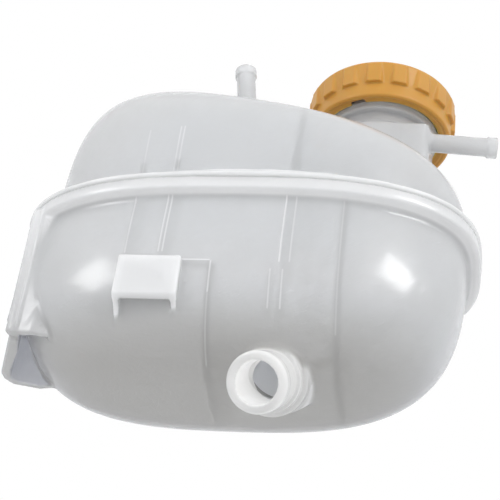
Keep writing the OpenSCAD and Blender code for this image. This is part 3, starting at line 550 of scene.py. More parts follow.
def lower_field():
    """The lower shell: body, rim, outlet, pocket, socket and its inner walls."""
    axis = outlet_axis()

    def body(x, y, z):
        skin = common_round(lower_wall(x, y, z), z, 0)
        rim = common_round(flange_edge(x, y, z), band(z, -LOWER_RIM, 0), 0.6)
        return common_round(union_round(skin, rim, 5.0), z, 0)

    def inside(x, y, z):
        return lower_wall(x, y, z) + WALL

    def outlet(x, y, z):
        radial, along = on_axis(x, y, z, OUTLET_ROOT, axis)
        stop = OUTLET_LENGTH - OUTLET_GRIP
        result = rod(radial, along, OUTLET_COLLAR_R, -14, 2.0, 0.9)
        result = union_round(result, rod(radial, along, OUTLET_STOP_R, -14, stop, 0.8), 0.8)
        result = union_round(result, rod(radial, along, OUTLET_R, -14, OUTLET_LENGTH, 0.8), 0.6)
        bead = rod(radial, along, OUTLET_BEAD_R, OUTLET_LENGTH - OUTLET_BEAD, OUTLET_LENGTH, 1.3)
        return union_round(result, bead, 0.4)

    def outlet_stub(x, y, z):
        radial, along = on_axis(x, y, z, OUTLET_ROOT, axis)
        return rod(radial, along, OUTLET_BORE_R + 2.2, -OUTLET_STUB, 2, 0.5)

    def outlet_bore(x, y, z):
        radial, along = on_axis(x, y, z, OUTLET_ROOT, axis)
        return rod(radial, along, OUTLET_BORE_R, -16, OUTLET_LENGTH + 4, 0)

    def pocket(x, y, z):
        plan = outline_distance(x, y, POCKET_OUTLINE)
        block = common_round(plan, band(z, -POCKET_DROP, -LOWER_RIM / 2), 0.9)
        room = pocket_room(x, y, z)
        cx, cy = POCKET_CORNER
        behind = ((x - cx) * (cy - POCKET_ROOT[1]) + (y - cy) * (POCKET_ROOT[0] - cx)) / POCKET_FRONT
        front_foot = z + POCKET_FRONT_DROP + POCKET_FRONT_SLOPE * (x - cx)
        open_front = np.maximum(behind - POCKET_WALL - 0.8, front_foot)
        return common_round(common_round(block, -room, 0.8), -open_front, 0.8)

    def rail(x, y, z):
        cx, cy = POCKET_CORNER
        plan = outline_distance(x, y, [(cx - RAIL_PROUD, cy - 0.8), (cx - RAIL_PROUD + 2, cy - 1.6),
                                       (cx + 3, cy + 0.4), (cx + 1, cy + 3), (cx - RAIL_PROUD + 0.4, cy + 2.4)])
        return common_round(plan, band(z, -RAIL_FOOT, -LOWER_RIM / 2), 0.6)

    def rib(x, y, z):
        cx, cy = POCKET_CORNER
        plan = outline_distance(x, y, [(cx + 1.8, cy - 1.0), (cx + 2.0, cy - 2.2), (cx + 2.8, cy - 2.3),
                                       (cx + 3.2, cy - 1.2)])
        return common_round(plan, band(z, -POCKET_FRONT_DROP, -LOWER_RIM / 2), 0.4)

    def snap(x, y, z):
        cx, cy = POCKET_CORNER
        outer = cx - RAIL_PROUD
        foot = -RAIL_DROP - SNAP_LENGTH
        side = outline_distance(x, z, [(cx + 1, -RAIL_DROP + 5), (outer + 0.4, -RAIL_DROP + 3),
                                       (outer - 0.3, foot + 1), (outer + 0.4, foot), (outer + 1.4, foot + 0.8),
                                       (cx - 0.2, -RAIL_DROP - 1.2), (cx + 1, -RAIL_DROP - 0.6)])
        return common_round(side, band(y, cy - 1.0, cy + 2.4), 0.5)

    def socket_plate(x, y, z):
        lean = SOCKET_DRAFT * (z - SOCKET_FOOT) / (SOCKET_TOP - SOCKET_FOOT)
        width = np.abs(x - SOCKET_X) - SOCKET_HALF + lean
        foot = (SOCKET_FOOT - SOCKET_FOOT_SLOPE * (y - SOCKET_FACE) - z) / math.hypot(1, SOCKET_FOOT_SLOPE)
        face = common_round(width, np.maximum(foot, z - SOCKET_TOP), 0.4)
        plate = common_round(face, band(y, SOCKET_FACE, SOCKET_FACE + SOCKET_PLATE), 0.35)
        roof = common_round(band(z, SOCKET_TOP - SOCKET_WALL, SOCKET_TOP), band(y, SOCKET_FACE, SOCKET_FACE + 8), 0.5)
        return union_round(plate, common_round(roof, width, 0.5), 0.5)

    def socket_cheeks(x, y, z):
        side = np.abs(np.abs(x - SOCKET_X) - SOCKET_HALF + SOCKET_WALL / 2) - SOCKET_WALL / 2
        run = SOCKET_FOOT - SOCKET_CHEEK_RUN
        slant = (SOCKET_FACE - y) * 0.53 + (SOCKET_FOOT - z) * 0.85
        tall = common_round(band(z, run, SOCKET_TOP - 0.3), band(y, SOCKET_FACE, SOCKET_FACE + 12), 0.5)
        return common_round(side, common_round(tall, slant, 0.5), 0.5)

    def baffle(x, y, z):
        skin = lower_wall(x, y, z) + WALL / 2
        wall = common_round(band(x, LOWER_BAFFLE_X - BAFFLE_WALL / 2, LOWER_BAFFLE_X + BAFFLE_WALL / 2), skin, 0)
        wall = np.maximum(wall, z + 0.3)
        for hole_y in (-28.0, 0.0, 26.0):
            hole = np.sqrt((y - hole_y) ** 2 + (z + 50) ** 2) - FLOW_HOLE_R
            wall = np.maximum(wall, -hole)
        return wall

    def chamber(x, y, z):
        skin = lower_wall(x, y, z) + WALL / 2
        wall = common_round(band(x, CHAMBER_WALL_X - BAFFLE_WALL / 2, CHAMBER_WALL_X + BAFFLE_WALL / 2), skin, 0)
        wall = np.maximum(wall, z - CHAMBER_TOP)
        hole = np.sqrt((y - 8) ** 2 + (z + 60) ** 2) - FLOW_HOLE_R
        return np.maximum(wall, -hole)

    def ledge(x, y, z):
        skin = lower_wall(x, y, z)
        layer = np.maximum(band(z, CHAMBER_TOP - RIB_WALL, CHAMBER_TOP), band(x, LEDGE_LEFT, CHAMBER_WALL_X))
        return np.maximum(np.maximum(layer, y), band(skin, -WALL - LEDGE_REACH, -WALL / 2))

    def guides(x, y, z):
        skin = lower_wall(x, y, z)
        side = np.minimum(np.abs(x - GUIDE_RIBS[0]), np.abs(x - GUIDE_RIBS[1])) - RIB_WALL / 2
        tall = band(z, GUIDE_FOOT, GUIDE_TOP)
        return np.maximum(np.maximum(np.maximum(side, tall), y), band(skin, -WALL - GUIDE_REACH, -WALL / 2))

    def floor_rib(x, y, z):
        skin = lower_wall(x, y, z)
        layer = np.maximum(band(y, FLOOR_RIB_Y - RIB_WALL / 2, FLOOR_RIB_Y + RIB_WALL / 2), z + 60)
        layer = np.maximum(layer, band(x, CHAMBER_WALL_X, LOWER_BAFFLE_X))
        return np.maximum(layer, band(skin, -WALL - FLOOR_RIB_HEIGHT, -WALL / 2))

    field = Field(body)
    field.join(outlet, 3.2, ([-5, -62, -106], [42, -10, -64]))
    field.join(pocket, 1.2, ([-99, -40, -67], [-66, 6, -2]))
    field.join(rail, 0.8, ([-90, -38, -66], [-84, -32, -2]))
    field.join(rib, 0.4, ([-87, -39, -66], [-83, -35, -2]))
    field.join(snap, 0.4, ([-91, -37, -61], [-85, -32, -45]))
    field.join(socket_plate, 0.5, ([-44, -59, -61], [-15, -48, -37]))
    field.join(socket_cheeks, 0.9, ([-44, -59, -67], [-15, -44, -37]))
    field.cut(inside)
    field.join(outlet_stub, 0.6, ([4, -44, -94], [34, -12, -62]))
    field.join(baffle, 1.2, ([40, -60, -82], [46, 60, 0]))
    field.join(chamber, 1.2, ([-10, -60, -82], [-4, 50, -38]))
    field.join(ledge, 0.6, ([-32, -60, -45], [-5, 0, -38]))
    field.join(guides, 0.5, ([15, -60, -63], [24, -20, -42]))
    field.join(floor_rib, 0.5, ([-9, -36, -82], [45, -28, -62]))
    field.cut(outlet_bore, 0.7, ([-5, -62, -106], [36, -10, -64]))
    return field


def wander(angle, seed):
    """A smooth wobble round a closed loop, between about -1 and 1."""
    total = 0
    for turns, share in ((7, 0.35), (13, 0.3), (29, 0.25), (53, 0.2)):
        total = total + share * np.sin(turns * angle + seed * (turns + 1.7))
    return total


def upper_field():
    """The upper shell: dome, flange, weld bead, neck, vent box, nipples and its hanging walls."""
    side_root = np.array([VENT_RIGHT, VENT_FRONT + 7.0, VENT_TOP - 6.6])
    side_axis = np.array([math.cos(SIDE_NIPPLE_TURN), math.sin(SIDE_NIPPLE_TURN), 0.0])
    top_axis = np.array([-math.sin(TOP_NIPPLE_LEAN), 0.0, math.cos(TOP_NIPPLE_LEAN)])

    def body(x, y, z):
        skin = common_round(dome_wall(x, y, z), -z, 0)
        edge = flange_edge(x, y, z)
        rim = common_round(edge, band(z, 0, UPPER_RIM), 0.8)
        angle = np.arctan2(y / HALF_DEPTH, x / HALF_LENGTH)
        rise = 2.6 + 0.3 * wander(angle, 2.0)
        bead = np.sqrt((edge + 1.9 + 0.3 * wander(angle, 0.7)) ** 2 + (z - rise) ** 2) - 0.95
        second = np.sqrt((edge + 0.5) ** 2 + (z - 1.5 - 0.3 * wander(angle, 4.1)) ** 2) - 0.75
        rim = union_round(union_round(rim, bead, 0.9), second, 0.9)
        return common_round(union_round(skin, rim, 4.5), -z, 0)

    def inside(x, y, z):
        return dome_wall(x, y, z) + WALL

    def neck(x, y, z):
        radial = np.sqrt((x - NECK_X) ** 2 + (y - NECK_Y) ** 2)
        tube = rod(radial, z, NECK_R, NECK_FOOT, NECK_SHELF + 4, 0)
        core = rod(radial, z, NECK_CORE_R, NECK_SHELF - 1.2, NECK_TOP, 0.8)
        ring = rod(radial, z, NECK_CORE_R + 0.8, NECK_SHELF + 1.2, NECK_SHELF + 2.6, 0.5)
        result = union_round(tube, union_round(core, ring, 0.5), 0.6)
        turned = helix_height(x, y, z, CAP_THREAD_START + THREAD_PITCH / 2)
        thread = np.abs(turned) * 0.9 + (radial - NECK_CORE_R) * 0.45 - 0.8
        thread = np.maximum(thread, band(z, NECK_SHELF + 4.6, NECK_TOP - 1.2))
        thread = np.maximum(thread, np.maximum(NECK_CORE_R - 1 - radial, radial - NECK_CORE_R - 0.8))
        return union_round(result, thread, 0.3)

    def vent_box(x, y, z):
        plan = common_round(band(x, VENT_LEFT, VENT_RIGHT), band(y, VENT_FRONT, NECK_Y), 3.6)
        return common_round(plan, band(z, 12, VENT_TOP), 1.8)

    def vent_room(x, y, z):
        plan = common_round(band(x, VENT_LEFT + VENT_WALL, VENT_RIGHT - VENT_WALL),
                            band(y, VENT_FRONT + VENT_WALL, NECK_Y), 1.0)
        radial = np.sqrt((x - NECK_X) ** 2 + (y - NECK_Y) ** 2)
        return np.maximum(common_round(plan, band(z, 5, VENT_TOP - VENT_WALL), 0.6), NECK_R - radial)

    def neck_bore(x, y, z):
        radial = np.sqrt((x - NECK_X) ** 2 + (y - NECK_Y) ** 2)
        bore = rod(radial, z, NECK_BORE_R, NECK_FOOT - 1, NECK_TOP + 9, 0)
        mouth = rod(radial, z, NECK_MOUTH_R, NECK_SHELF + WALL / 2, NECK_TOP + 9, 0.3)
        return np.minimum(bore, mouth)

    def nipple(x, y, z, root, axis, length):
        radial, along = on_axis(x, y, z, root, axis)
        stem = rod(radial, along, NIPPLE_R, -4, length - 1, 0)
        bead = rod(radial, along, NIPPLE_BEAD_R, length - NIPPLE_BEAD, length, 0.5)
        return union_round(stem, bead, 0.2)

    def side_nipple(x, y, z):
        return nipple(x, y, z, side_root, side_axis, SIDE_NIPPLE_LENGTH)

    def side_bore(x, y, z):
        radial, along = on_axis(x, y, z, side_root, side_axis)
        return rod(radial, along, NIPPLE_BORE_R, -6, SIDE_NIPPLE_LENGTH + 3, 0)

    def top_nipple(x, y, z):
        return nipple(x, y, z, TOP_NIPPLE_ROOT, top_axis, TOP_NIPPLE_LENGTH)

    def top_bore(x, y, z):
        radial, along = on_axis(x, y, z, TOP_NIPPLE_ROOT, top_axis)
        return rod(radial, along, NIPPLE_BORE_R, -8, TOP_NIPPLE_LENGTH + 3, 0)

    def baffle(x, y, z):
        skin = dome_wall(x, y, z) + WALL / 2
        wall = np.maximum(band(x, DOME_BAFFLE_X - BAFFLE_WALL / 2, DOME_BAFFLE_X + BAFFLE_WALL / 2), skin)
        wall = np.maximum(wall, -z)
        for hole_y in (-24.0, 22.0):
            hole = np.sqrt((y - hole_y) ** 2 + (z - 26) ** 2) - FLOW_HOLE_R
            wall = np.maximum(wall, -hole)
        return wall

    def tongue(x, y, z, middle, width, drop):
        side = band(x, middle - width / 2, middle + width / 2)
        above = band(dome_wall(x, y, z), -WALL - TONGUE_REACH, -WALL / 2)
        below = band(lower_wall(x, y, z), -WALL - TONGUE_REACH, -WALL - TONGUE_GAP)
        run = np.where(z > 0, above, below)
        taper = (y + 29) * 0.8 + (-z - drop * 0.25) * 0.3
        shape = common_round(side, np.maximum(run, np.maximum(band(z, -drop, TONGUE_ROOT), y + 20)), 0.5)
        return np.maximum(shape, taper)

    def tongues(x, y, z):
        result = tongue(x, y, z, DOME_BAFFLE_X, WIDE_TONGUE, WIDE_TONGUE_DROP)
        for middle in SLIM_TONGUES:
            result = np.minimum(result, tongue(x, y, z, middle, BAFFLE_WALL, SLIM_TONGUE_DROP))
        return result

    field = Field(body)
    field.join(neck, 6.0, ([20, -8, 8], [80, 52, 104]))
    field.join(vent_box, 4.5, ([34, -6, 10], [76, 24, 80]))
    field.join(side_nipple, 2.4, ([68, -4, 64], [106, 14, 78]))
    field.join(top_nipple, 1.4, ([-18, -26, 58], [-1, -14, 96]))
    field.cut(inside)
    field.cut(neck_bore, 0.4, ([28, 0, 8], [72, 44, 106]))
    field.cut(vent_room, 0.5, ([36, -4, 4], [74, 24, 78]))
    field.cut(side_bore, 0.5, ([66, -4, 64], [108, 14, 78]))
    field.cut(top_bore, 0.5, ([-18, -26, 54], [-1, -14, 98]))
    field.join(baffle, 1.2, ([19, -56, 0], [25, 56, 70]))
    field.join(tongues, 0.6, ([-45, -58, -44], [26, -18, 16]))
    return field


def helix_height(x, y, z, start):
    """Height above the nearest turn of a right-handed thread."""
    turn = np.arctan2(y - NECK_Y, x - NECK_X) / (2 * math.pi)
    height = z - start - THREAD_PITCH * turn
    return height - THREAD_PITCH * np.round(height / THREAD_PITCH)


def painted_thread_light(x, y, z):
    """The crest of the cap's thread, where a lighter line is painted as light coming through."""
    r = np.sqrt((x - NECK_X) ** 2 + (y - NECK_Y) ** 2)
    return np.clip((CAP_THREAD_R + 0.75 - r) / 0.5, 0, 1) * (r > CAP_THREAD_R - 1) * (z < CAP_THREAD_TOP)


def cap_field():
    """The cap: lobed skirt, smooth collar, inner thread and the lip that holds the valve insert."""
    pitch = 2 * math.pi / LOBES
    root_half = COLLAR_R * pitch * LOBE_SHARE / 2
    tip_half = root_half * 0.7

    def radius(x, y):
        return np.sqrt((x - NECK_X) ** 2 + (y - NECK_Y) ** 2)

    def skirt(x, y, z):
        r = radius(x, y)
        rise = np.clip((z - LOBE_FOOT - 1.0) / (LOBE_TOP - LOBE_FOOT - 1.0), 0, 1)
        wall = rod(r - rise * CAP_FLARE, z, COLLAR_R, CAP_FOOT, CAP_TOP, 1.3)
        dish = rod(r, z, COLLAR_R - 7.0, CAP_TOP - 0.7, CAP_TOP + 6, 1.0)
        return common_round(wall, -dish, 0.6)

    def lobes(x, y, z):
        r = radius(x, y)
        angle = np.arctan2(y - NECK_Y, x - NECK_X) - LOBE_TURN
        across = (angle - pitch * np.round(angle / pitch)) * r
        slope = (root_half - tip_half) / (LOBE_R - COLLAR_R)
        side = (np.abs(across) - tip_half - (LOBE_R - r) * slope) / math.sqrt(1 + slope * slope)
        flat = r * np.cos(across / r) - LOBE_R
        block = common_round(side, common_round(flat, COLLAR_R - 2 - r, 0), 0.45)
        return common_round(block, band(z, LOBE_FOOT, LOBE_TOP), 0.4)

    def room(x, y, z):
        r = radius(x, y)
        lower = rod(r, z, SKIRT_INNER_R, CAP_FOOT - 6, CAP_THREAD_FOOT, 0.3)
        middle = rod(r, z, CAP_THREAD_ROOT_R, CAP_FOOT - 6, CAP_UNDER, 0.2)
        upper = rod(r, z, SKIRT_INNER_R, CAP_THREAD_TOP, CAP_UNDER, 0.3)
        return np.minimum(np.minimum(lower, middle), upper)

    def thread(x, y, z):
        r = radius(x, y)
        turned = helix_height(x, y, z, CAP_THREAD_START)
        ridge = np.abs(turned) * 0.86 + (CAP_THREAD_R - r) * 0.5 - 0.7
        ridge = np.maximum(ridge, np.maximum(CAP_THREAD_R - r, r - SKIRT_INNER_R - 0.5))
        ridge = np.maximum(ridge, band(z, CAP_THREAD_FOOT, CAP_THREAD_TOP))
        dx, dy = x - NECK_X, y - NECK_Y
        ahead = dx * math.cos(THREAD_NOTCH) + dy * math.sin(THREAD_NOTCH)
        aside = dy * math.cos(THREAD_NOTCH) - dx * math.sin(THREAD_NOTCH)
        notch = np.maximum(np.abs(aside) - NOTCH_HALF, -ahead)
        return np.maximum(ridge, -notch)

    def snap_ring(x, y, z):
        r = radius(x, y)
        ring = common_round(band(r, SNAP_RING_R, SNAP_RING_R + SNAP_RING_WALL), band(z, SNAP_FOOT, CAP_UNDER + 0.5), 0.2)
        lip = common_round(band(r, SNAP_LIP_R, SNAP_RING_R + 0.5), band(z, SNAP_FOOT, SNAP_FOOT + 0.8), 0.2)
        return np.minimum(ring, lip)

    field = Field(skirt)
    field.join(lobes, 0.5)
    field.cut(room)
    field.join(thread, 0.2)
    field.join(snap_ring, 0.2)
    return field


# Materials

def new_material(name, base, roughness):
    material = bpy.data.materials.new(name)
    material.use_nodes = True
    shader = material.node_tree.nodes["Principled BSDF"]
    shader.inputs["Base Color"].default_value = (*base, 1)
    shader.inputs["Roughness"].default_value = roughness
    return material, shader


def add_node(material, kind, **values):
    node = material.node_tree.nodes.new(kind)
    for name, value in values.items():
        if name in node.inputs:
            node.inputs[name].default_value = value
        else:
            setattr(node, name, value)
    return node


def link(material, source, target):
    material.node_tree.links.new(source, target)


def object_place(material):
    return add_node(material, "ShaderNodeTexCoord").outputs["Object"]


def noise(material, place, scale, detail=2.0):
    node = add_node(material, "ShaderNodeTexNoise", Scale=scale, Detail=detail)
    link(material, place, node.inputs["Vector"])
    return node.outputs["Fac"]


def ramp(material, value, stops):
    node = add_node(material, "ShaderNodeValToRGB")
    link(material, value, node.inputs["Fac"])
    elements = node.color_ramp.elements
    while len(elements) < len(stops):
        elements.new(0.5)
    for element, (place, colour) in zip(elements, stops):
        element.position = place
        element.color = (*colour, 1)
    return node.outputs["Color"]


def mapped(material, place, length, turn=(0.0, 0.0, 0.0)):
    """Coordinates turned, then divided by a length on each axis, so that a noise gets a grain."""
    node = add_node(material, "ShaderNodeMapping")
    node.vector_type = "TEXTURE"
    node.inputs["Scale"].default_value = length
    node.inputs["Rotation"].default_value = turn
    link(material, place, node.inputs["Vector"])
    return node.outputs["Vector"]


def math_node(material, operation, a, b):
    node = add_node(material, "ShaderNodeMath")
    node.operation = operation
    for socket, value in zip(node.inputs, (a, b)):
        if isinstance(value, (int, float)):
            socket.default_value = value
        else:
            link(material, value, socket)
    return node.outputs["Value"]


def level_range(material, value, low, high, low_out, high_out):
    """Maps a value from one range to another, smoothly."""
    node = add_node(material, "ShaderNodeMapRange")
    node.interpolation_type = "SMOOTHSTEP"
    for name, number in (("From Min", low), ("From Max", high), ("To Min", low_out), ("To Max", high_out)):
        node.inputs[name].default_value = number
    link(material, value, node.inputs["Value"])
    return node.outputs["Result"]


def mix_colours(material, share, a, b):
    node = add_node(material, "ShaderNodeMix")
    node.data_type = "RGBA"
    link(material, share, node.inputs["Factor"])
    for index, colour in ((6, a), (7, b)):
        if isinstance(colour, tuple):
            node.inputs[index].default_value = (*colour, 1)
        else:
            link(material, colour, node.inputs[index])
    return node.outputs[2]


def window(material, value, low, high, soft):
    """From 0 to 1 and back, between two values, with soft ends."""
    rise = level_range(material, value, low, low + soft, 0.0, 1.0)
    fall = level_range(material, value, high - soft, high, 1.0, 0.0)
    return math_node(material, "MULTIPLY", rise, fall)


def faint_lines(material, split):
    """Thin light lines where inner walls meet the front from inside, from 0 to 1."""
    total = level_range(material, split.outputs["X"], 5.0, 6.0, 0.0, 1.0)
    for axis, middle, low, high, strength in FAINT_LINES:
        off = math_node(material, "SUBTRACT", split.outputs[axis], middle)
        line = level_range(material, math_node(material, "ABSOLUTE", off, 0.0), 0.0002, 0.0005, strength, 0.0)
        along = "Z" if axis == "X" else "X"
        line = math_node(material, "MULTIPLY", line, window(material, split.outputs[along], low, high, 0.001))
        total = math_node(material, "MAXIMUM", total, line)
    front = level_range(material, split.outputs["Y"], FRONT_Y - 0.001, FRONT_Y, 1.0, 0.0)
    return math_node(material, "MULTIPLY", total, front)


def stored(material, name):
    return add_node(material, "ShaderNodeAttribute", attribute_name=name).outputs["Fac"]


def milky_material():
    """Natural plastic: cloudy all through and glossy, clearer where it is thin, yellower at the weld, with painted
    shade towards the bottom and in the pocket, a painted bluish cast on the front and a painted glow in the outlet's
    bore.
    """
    material, shader = new_material("milky", (0.95, 0.95, 0.95), 0.2)
    shader.inputs["IOR"].default_value = 1.49
    shader.inputs["Subsurface Weight"].default_value = 1.0
    shader.inputs["Subsurface Scale"].default_value = 0.006
    shader.inputs["Subsurface Radius"].default_value = (1.0, 1.0, 1.0)
    shader.inputs["Coat Weight"].default_value = 0.25
    shader.inputs["Coat Roughness"].default_value = 0.06
    place = object_place(material)
    split = add_node(material, "ShaderNodeSeparateXYZ")
    link(material, place, split.inputs["Vector"])
    height = split.outputs["Z"]
    solid = math_node(material, "MAXIMUM", stored(material, "solid"), faint_lines(material, split))
    link(material, level_range(material, solid, 0.0, 0.9, 0.5, 0.04), shader.inputs["Transmission Weight"])
    drift = noise(material, place, 22.0)
    thin = ramp(material, drift, [(0.35, (0.90, 0.905, 0.915)), (0.65, (0.93, 0.933, 0.94))])
    # Painted light: a bluish cast painted over the middle of the front.
    across = window(material, split.outputs["X"], 0.010, 0.165, 0.05)
    painted_cool_cast = math_node(material, "MULTIPLY", across, window(material, height, 0.015, 0.13, 0.035))
    thin = mix_colours(material, painted_cool_cast, thin, (0.90, 0.915, 0.95))
    # Painted shade: the thin plastic is painted warm grey towards the bottom.
    low = level_range(material, height, BOTTOM_Z + 0.002, BOTTOM_Z + 0.034, 1.0, 0.0)
    thin = mix_colours(material, low, thin, (0.665, 0.655, 0.635))
    body = mix_colours(material, level_range(material, solid, 0.0, 0.8, 0.0, 1.0), thin, (0.975, 0.975, 0.975))
    # Painted shade: the pocket's inner walls are painted a darker blue grey.
    body = mix_colours(material, stored(material, "pocket_shade_paint"), body, (0.64, 0.65, 0.70))
    weld_low = level_range(material, height, WELD_Z - 0.0085, WELD_Z - 0.0055, 0.0, 1.0)
    weld_high = level_range(material, height, WELD_Z + 0.003, WELD_Z + 0.005, 1.0, 0.0)
    weld = math_node(material, "MULTIPLY", weld_low, weld_high)
    tinted = mix_colours(material, weld, body, (0.975, 0.975, 0.955))
    link(material, tinted, shader.inputs["Base Color"])
    # Painted light: the outlet's bore glows white, in place of light coming through its wall.
    painted_bore_glow = math_node(material, "MULTIPLY", stored(material, "bore"), 0.34)
    shader.inputs["Emission Color"].default_value = (1.0, 1.0, 1.0, 1.0)
    link(material, painted_bore_glow, shader.inputs["Emission Strength"])
    cloud = noise(material, mapped(material, place, (1.0, 1.0, 0.5)), 160.0, 3.0)
    link(material, level_range(material, cloud, 0.35, 0.65, 0.2, 0.25), shader.inputs["Roughness"])
    waves = add_node(material, "ShaderNodeBump", Strength=0.25, Distance=0.0004)
    link(material, noise(material, place, 55.0), waves.inputs["Height"])
    scratches = add_node(material, "ShaderNodeBump", Strength=0.16, Distance=0.00012)
    streaks = noise(material, mapped(material, place, (1.0, 1.0, 7.0), (0.0, 0.8, 0.3)), 700.0, 2.0)
    link(material, level_range(material, streaks, 0.5, 0.62, 0.0, 1.0), scratches.inputs["Height"])
    link(material, waves.outputs["Normal"], scratches.inputs["Normal"])
    link(material, scratches.outputs["Normal"], shader.inputs["Normal"])
    return material


def plain_material(name, base, roughness, metallic=0.0, grain=400.0, strength=0.1):
    material, shader = new_material(name, base, roughness)
    shader.inputs["Metallic"].default_value = metallic
    place = object_place(material)
    bump = add_node(material, "ShaderNodeBump", Strength=strength, Distance=0.0003)
    link(material, noise(material, place, grain), bump.inputs["Height"])
    link(material, bump.outputs["Normal"], shader.inputs["Normal"])
    return material


def dress(node, material):
    mesh = frame["nodes"][node].data
    mesh.materials.clear()
    mesh.materials.append(material)


def cap_material():
    """Orange plastic, painted lighter along the thread's edge as light that comes through."""
    material, shader = new_material("cap_orange", (0.57, 0.275, 0.038), 0.4)
    shader.inputs["Subsurface Weight"].default_value = 0.25
    shader.inputs["Subsurface Scale"].default_value = 0.0015
    place = object_place(material)
    mottle = ramp(material, noise(material, place, 60.0), [(0.35, (0.56, 0.27, 0.036)), (0.65, (0.59, 0.29, 0.042))])
    # Painted light: a gold line along the thread's crest.
    link(material, mix_colours(material, stored(material, "edge"), mottle, (0.90, 0.62, 0.12)),
         shader.inputs["Base Color"])
    bump = add_node(material, "ShaderNodeBump", Strength=0.12, Distance=0.0003)
    link(material, noise(material, place, 900.0), bump.inputs["Height"])
    link(material, bump.outputs["Normal"], shader.inputs["Normal"])
    return material


milky = milky_material()
cap_plastic = cap_material()
black_plastic = plain_material("black_plastic", (0.014, 0.014, 0.016), 0.38)
grey_plastic = plain_material("grey_plastic", (0.12, 0.125, 0.13), 0.4)
rubber = plain_material("seal_rubber", (0.02, 0.02, 0.022), 0.6)
brass = plain_material("valve_brass", (0.6, 0.45, 0.18), 0.3, metallic=1.0)
steel = plain_material("spring_steel", (0.55, 0.55, 0.56), 0.3, metallic=1.0)

dress("cap_shell", cap_plastic)
dress("valve_housing", black_plastic)
dress("spring_retainer", grey_plastic)
for node in ("neck_seal", "relief_gasket", "vacuum_face"):
    dress(node, rubber)
for node in ("relief_plate", "vacuum_valve"):
    dress(node, brass)
dress("stem_clip", steel)


def coil_spring(node):
    """A steel copy of a spring, carried by the body that it belongs to, in place of the imported one."""
    behaviour = frame["record"]["behaviour"]
    body = next(name for name, nodes in behaviour["bodies"].items() if node in nodes)
    mesh = frame["nodes"][node].data.copy()
    mesh.materials.clear()
    mesh.materials.append(steel)
    spring = bpy.data.objects.new(node + "_coil", mesh)
    bpy.context.scene.collection.objects.link(spring)
    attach(spring, body)
    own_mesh(spring)
    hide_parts(node)


for moving in frame["record"]["behaviour"]["joints"]:
    for spring_row in moving.get("deforming_nodes", []):
        coil_spring(spring_row["node"])

lower = field_object("lower_shell_form", lower_field(), (-101, -62, -105), (100, 60, 3), CELL,
                     "tank", milky)
mark(lower.data, "solid", lower_share)
# Painted shade: marks the pocket's inner walls, which the material paints darker.
mark(lower.data, "pocket_shade_paint", pocket_shade)
# Painted light: marks the outlet's bore, which the material makes glow.
mark(lower.data, "bore", painted_bore_light_share)
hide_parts("lower_shell")
upper = field_object("upper_shell_form", upper_field(), (-101, -61, -45), (107, 61, 105), CELL,
                     "tank", milky)
mark(upper.data, "solid", upper_share)
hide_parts("upper_shell")
cap_low = (NECK_X - LOBE_R - 2, NECK_Y - LOBE_R - 2, CAP_FOOT - 2)
cap_high = (NECK_X + LOBE_R + 2, NECK_Y + LOBE_R + 2, CAP_TOP + 2)
cap = field_object("cap_shell_form", cap_field(), cap_low, cap_high, CAP_CELL, "cap", cap_plastic)
mark(cap.data, "edge", painted_thread_light)
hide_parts("cap_shell")


# Camera, light and floor

CAMERA_AT = (0.1811, -0.5074, -0.3221)
CAMERA_RISE = math.radians(36.58)
CAMERA_ROLL = math.radians(7.37)
CAMERA_TURN = math.radians(10.56)
CAMERA_LENS = 109.15


def camera_rotation():
    up = Vector((math.cos(CAMERA_RISE) * math.sin(CAMERA_ROLL),
                 math.cos(CAMERA_RISE) * math.cos(CAMERA_ROLL), -math.sin(CAMERA_RISE)))
    towards = (Vector((0, 0, 1)) - up * up.z).normalized()
    across = up.cross(towards)
    x = across * math.cos(CAMERA_TURN) + towards * math.sin(CAMERA_TURN)
    y = across * math.sin(CAMERA_TURN) - towards * math.cos(CAMERA_TURN)
    return Matrix((x, y, up))


camera_data = bpy.data.cameras.new("camera")
camera_data.lens = CAMERA_LENS
camera_data.sensor_width = 36.0
camera = bpy.data.objects.new("camera", camera_data)
bpy.context.scene.collection.objects.link(camera)
camera.matrix_world = Matrix.Translation(CAMERA_AT) @ camera_rotation().to_4x4()
bpy.context.scene.camera = camera

def reflected_light(name, spot, towards, across, distance, width, height, radiance):
    """A rectangular light whose mirror image lies at a spot on the tank."""
    out = Vector(towards).normalized()
    side = Vector(across)
    side = (side - out * side.dot(out)).normalized()
    light = bpy.data.lights.new(name, "AREA")
    light.shape = "RECTANGLE"
    light.size = width
    light.size_y = height
    light.energy = radiance * math.pi * width * height
    obj = bpy.data.objects.new(name, light)
    bpy.context.scene.collection.objects.link(obj)
    turn = Matrix((side, out.cross(side), out)).transposed()
    obj.matrix_world = Matrix.Translation(Vector(spot) + out * distance) @ turn.to_4x4()
    return obj


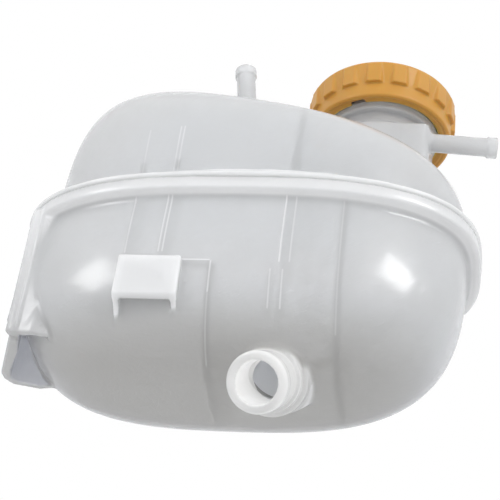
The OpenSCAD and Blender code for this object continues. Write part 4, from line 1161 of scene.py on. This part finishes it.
def studio_world():
    """A white backdrop to look at, and soft light that is bluish white in front and warm grey below."""
    world = bpy.data.worlds.new("studio")
    bpy.context.scene.world = world
    world.use_nodes = True
    nodes = world.node_tree.nodes
    links = world.node_tree.links
    background = nodes["Background"]
    place = nodes.new("ShaderNodeTexCoord").outputs["Generated"]
    split = nodes.new("ShaderNodeSeparateXYZ")
    links.new(place, split.inputs["Vector"])
    rise = nodes.new("ShaderNodeValToRGB")
    shift = nodes.new("ShaderNodeMath")
    shift.operation = "MULTIPLY_ADD"
    shift.inputs[1].default_value = 0.5
    shift.inputs[2].default_value = 0.5
    links.new(split.outputs["Z"], shift.inputs[0])
    links.new(shift.outputs["Value"], rise.inputs["Fac"])
    elements = rise.color_ramp.elements
    for _ in range(len(WORLD_LEVELS) - 2):
        elements.new(0.5)
    for element, (height, colour) in zip(elements, WORLD_LEVELS):
        element.position = height * 0.5 + 0.5
        element.color = (*colour, 1)
    mix = nodes.new("ShaderNodeMix")
    mix.data_type = "RGBA"
    mix.inputs[7].default_value = (1, 1, 1, 1)
    links.new(nodes.new("ShaderNodeLightPath").outputs["Is Camera Ray"], mix.inputs["Factor"])
    links.new(rise.outputs["Color"], mix.inputs[6])
    links.new(mix.outputs[2], background.inputs["Color"])
    background.inputs["Strength"].default_value = 1.0


# World colours by the height of the direction, from straight down to straight up
WORLD_LEVELS = ((-1.0, (0.10, 0.094, 0.086)), (-0.55, (0.16, 0.154, 0.145)), (-0.3, (0.57, 0.58, 0.61)),
                (0.2, (0.88, 0.90, 0.93)), (1.0, (0.95, 0.95, 0.95)))

bpy.context.scene.view_settings.view_transform = "Standard"
studio_world()
RIGHT_SPOT = (0.1515, -0.0316, 0.0263)
LEFT_SPOT = (0.0332, -0.0366, 0.0186)
reflected_light("right_softbox", RIGHT_SPOT, (0.655, -0.612, 0.443), (0.335, 0.229, -0.225), 1.1, 0.51, 0.27, 9.0)
reflected_light("left_softbox", LEFT_SPOT, (-0.61, -0.705, 0.361), (0.3, -0.1, 0.3), 1.1, 0.36, 0.36, 6.0)
reflected_light("small_lamp", (0.160, -0.0255, 0.0242), (0.891, -0.297, 0.342), (0.3, 0.2, -0.2), 1.1, 0.08, 0.08, 6.0)

OUTLET_LAMP_TOWARDS = Vector((0.3, -0.84, -0.42)).normalized()
lamp_data = bpy.data.lights.new("outlet_lamp", "SPOT")
lamp_data.energy = 0.35
lamp_data.spot_size = math.radians(7.5)
lamp_data.spot_blend = 0.8
lamp_data.shadow_soft_size = 0.03
lamp = bpy.data.objects.new("outlet_lamp", lamp_data)
bpy.context.scene.collection.objects.link(lamp)
outlet_mouth = Vector(to_frame(OUTLET_ROOT + outlet_axis() * OUTLET_LENGTH))
lamp.location = outlet_mouth + OUTLET_LAMP_TOWARDS * 0.45
lamp.rotation_euler = OUTLET_LAMP_TOWARDS.to_track_quat("Z", "Y").to_euler()

floor_mesh = bpy.data.meshes.new("floor")
floor_mesh.from_pydata([(-3, -3, -0.6), (3, -3, -0.6), (3, 3, -0.6), (-3, 3, -0.6)], [], [(0, 1, 2, 3)])
floor = bpy.data.objects.new("floor", floor_mesh)
bpy.context.scene.collection.objects.link(floor)
floor_material, floor_shader = new_material("floor_paint", (0.8, 0.8, 0.8), 0.7)
floor_mesh.materials.append(floor_material)
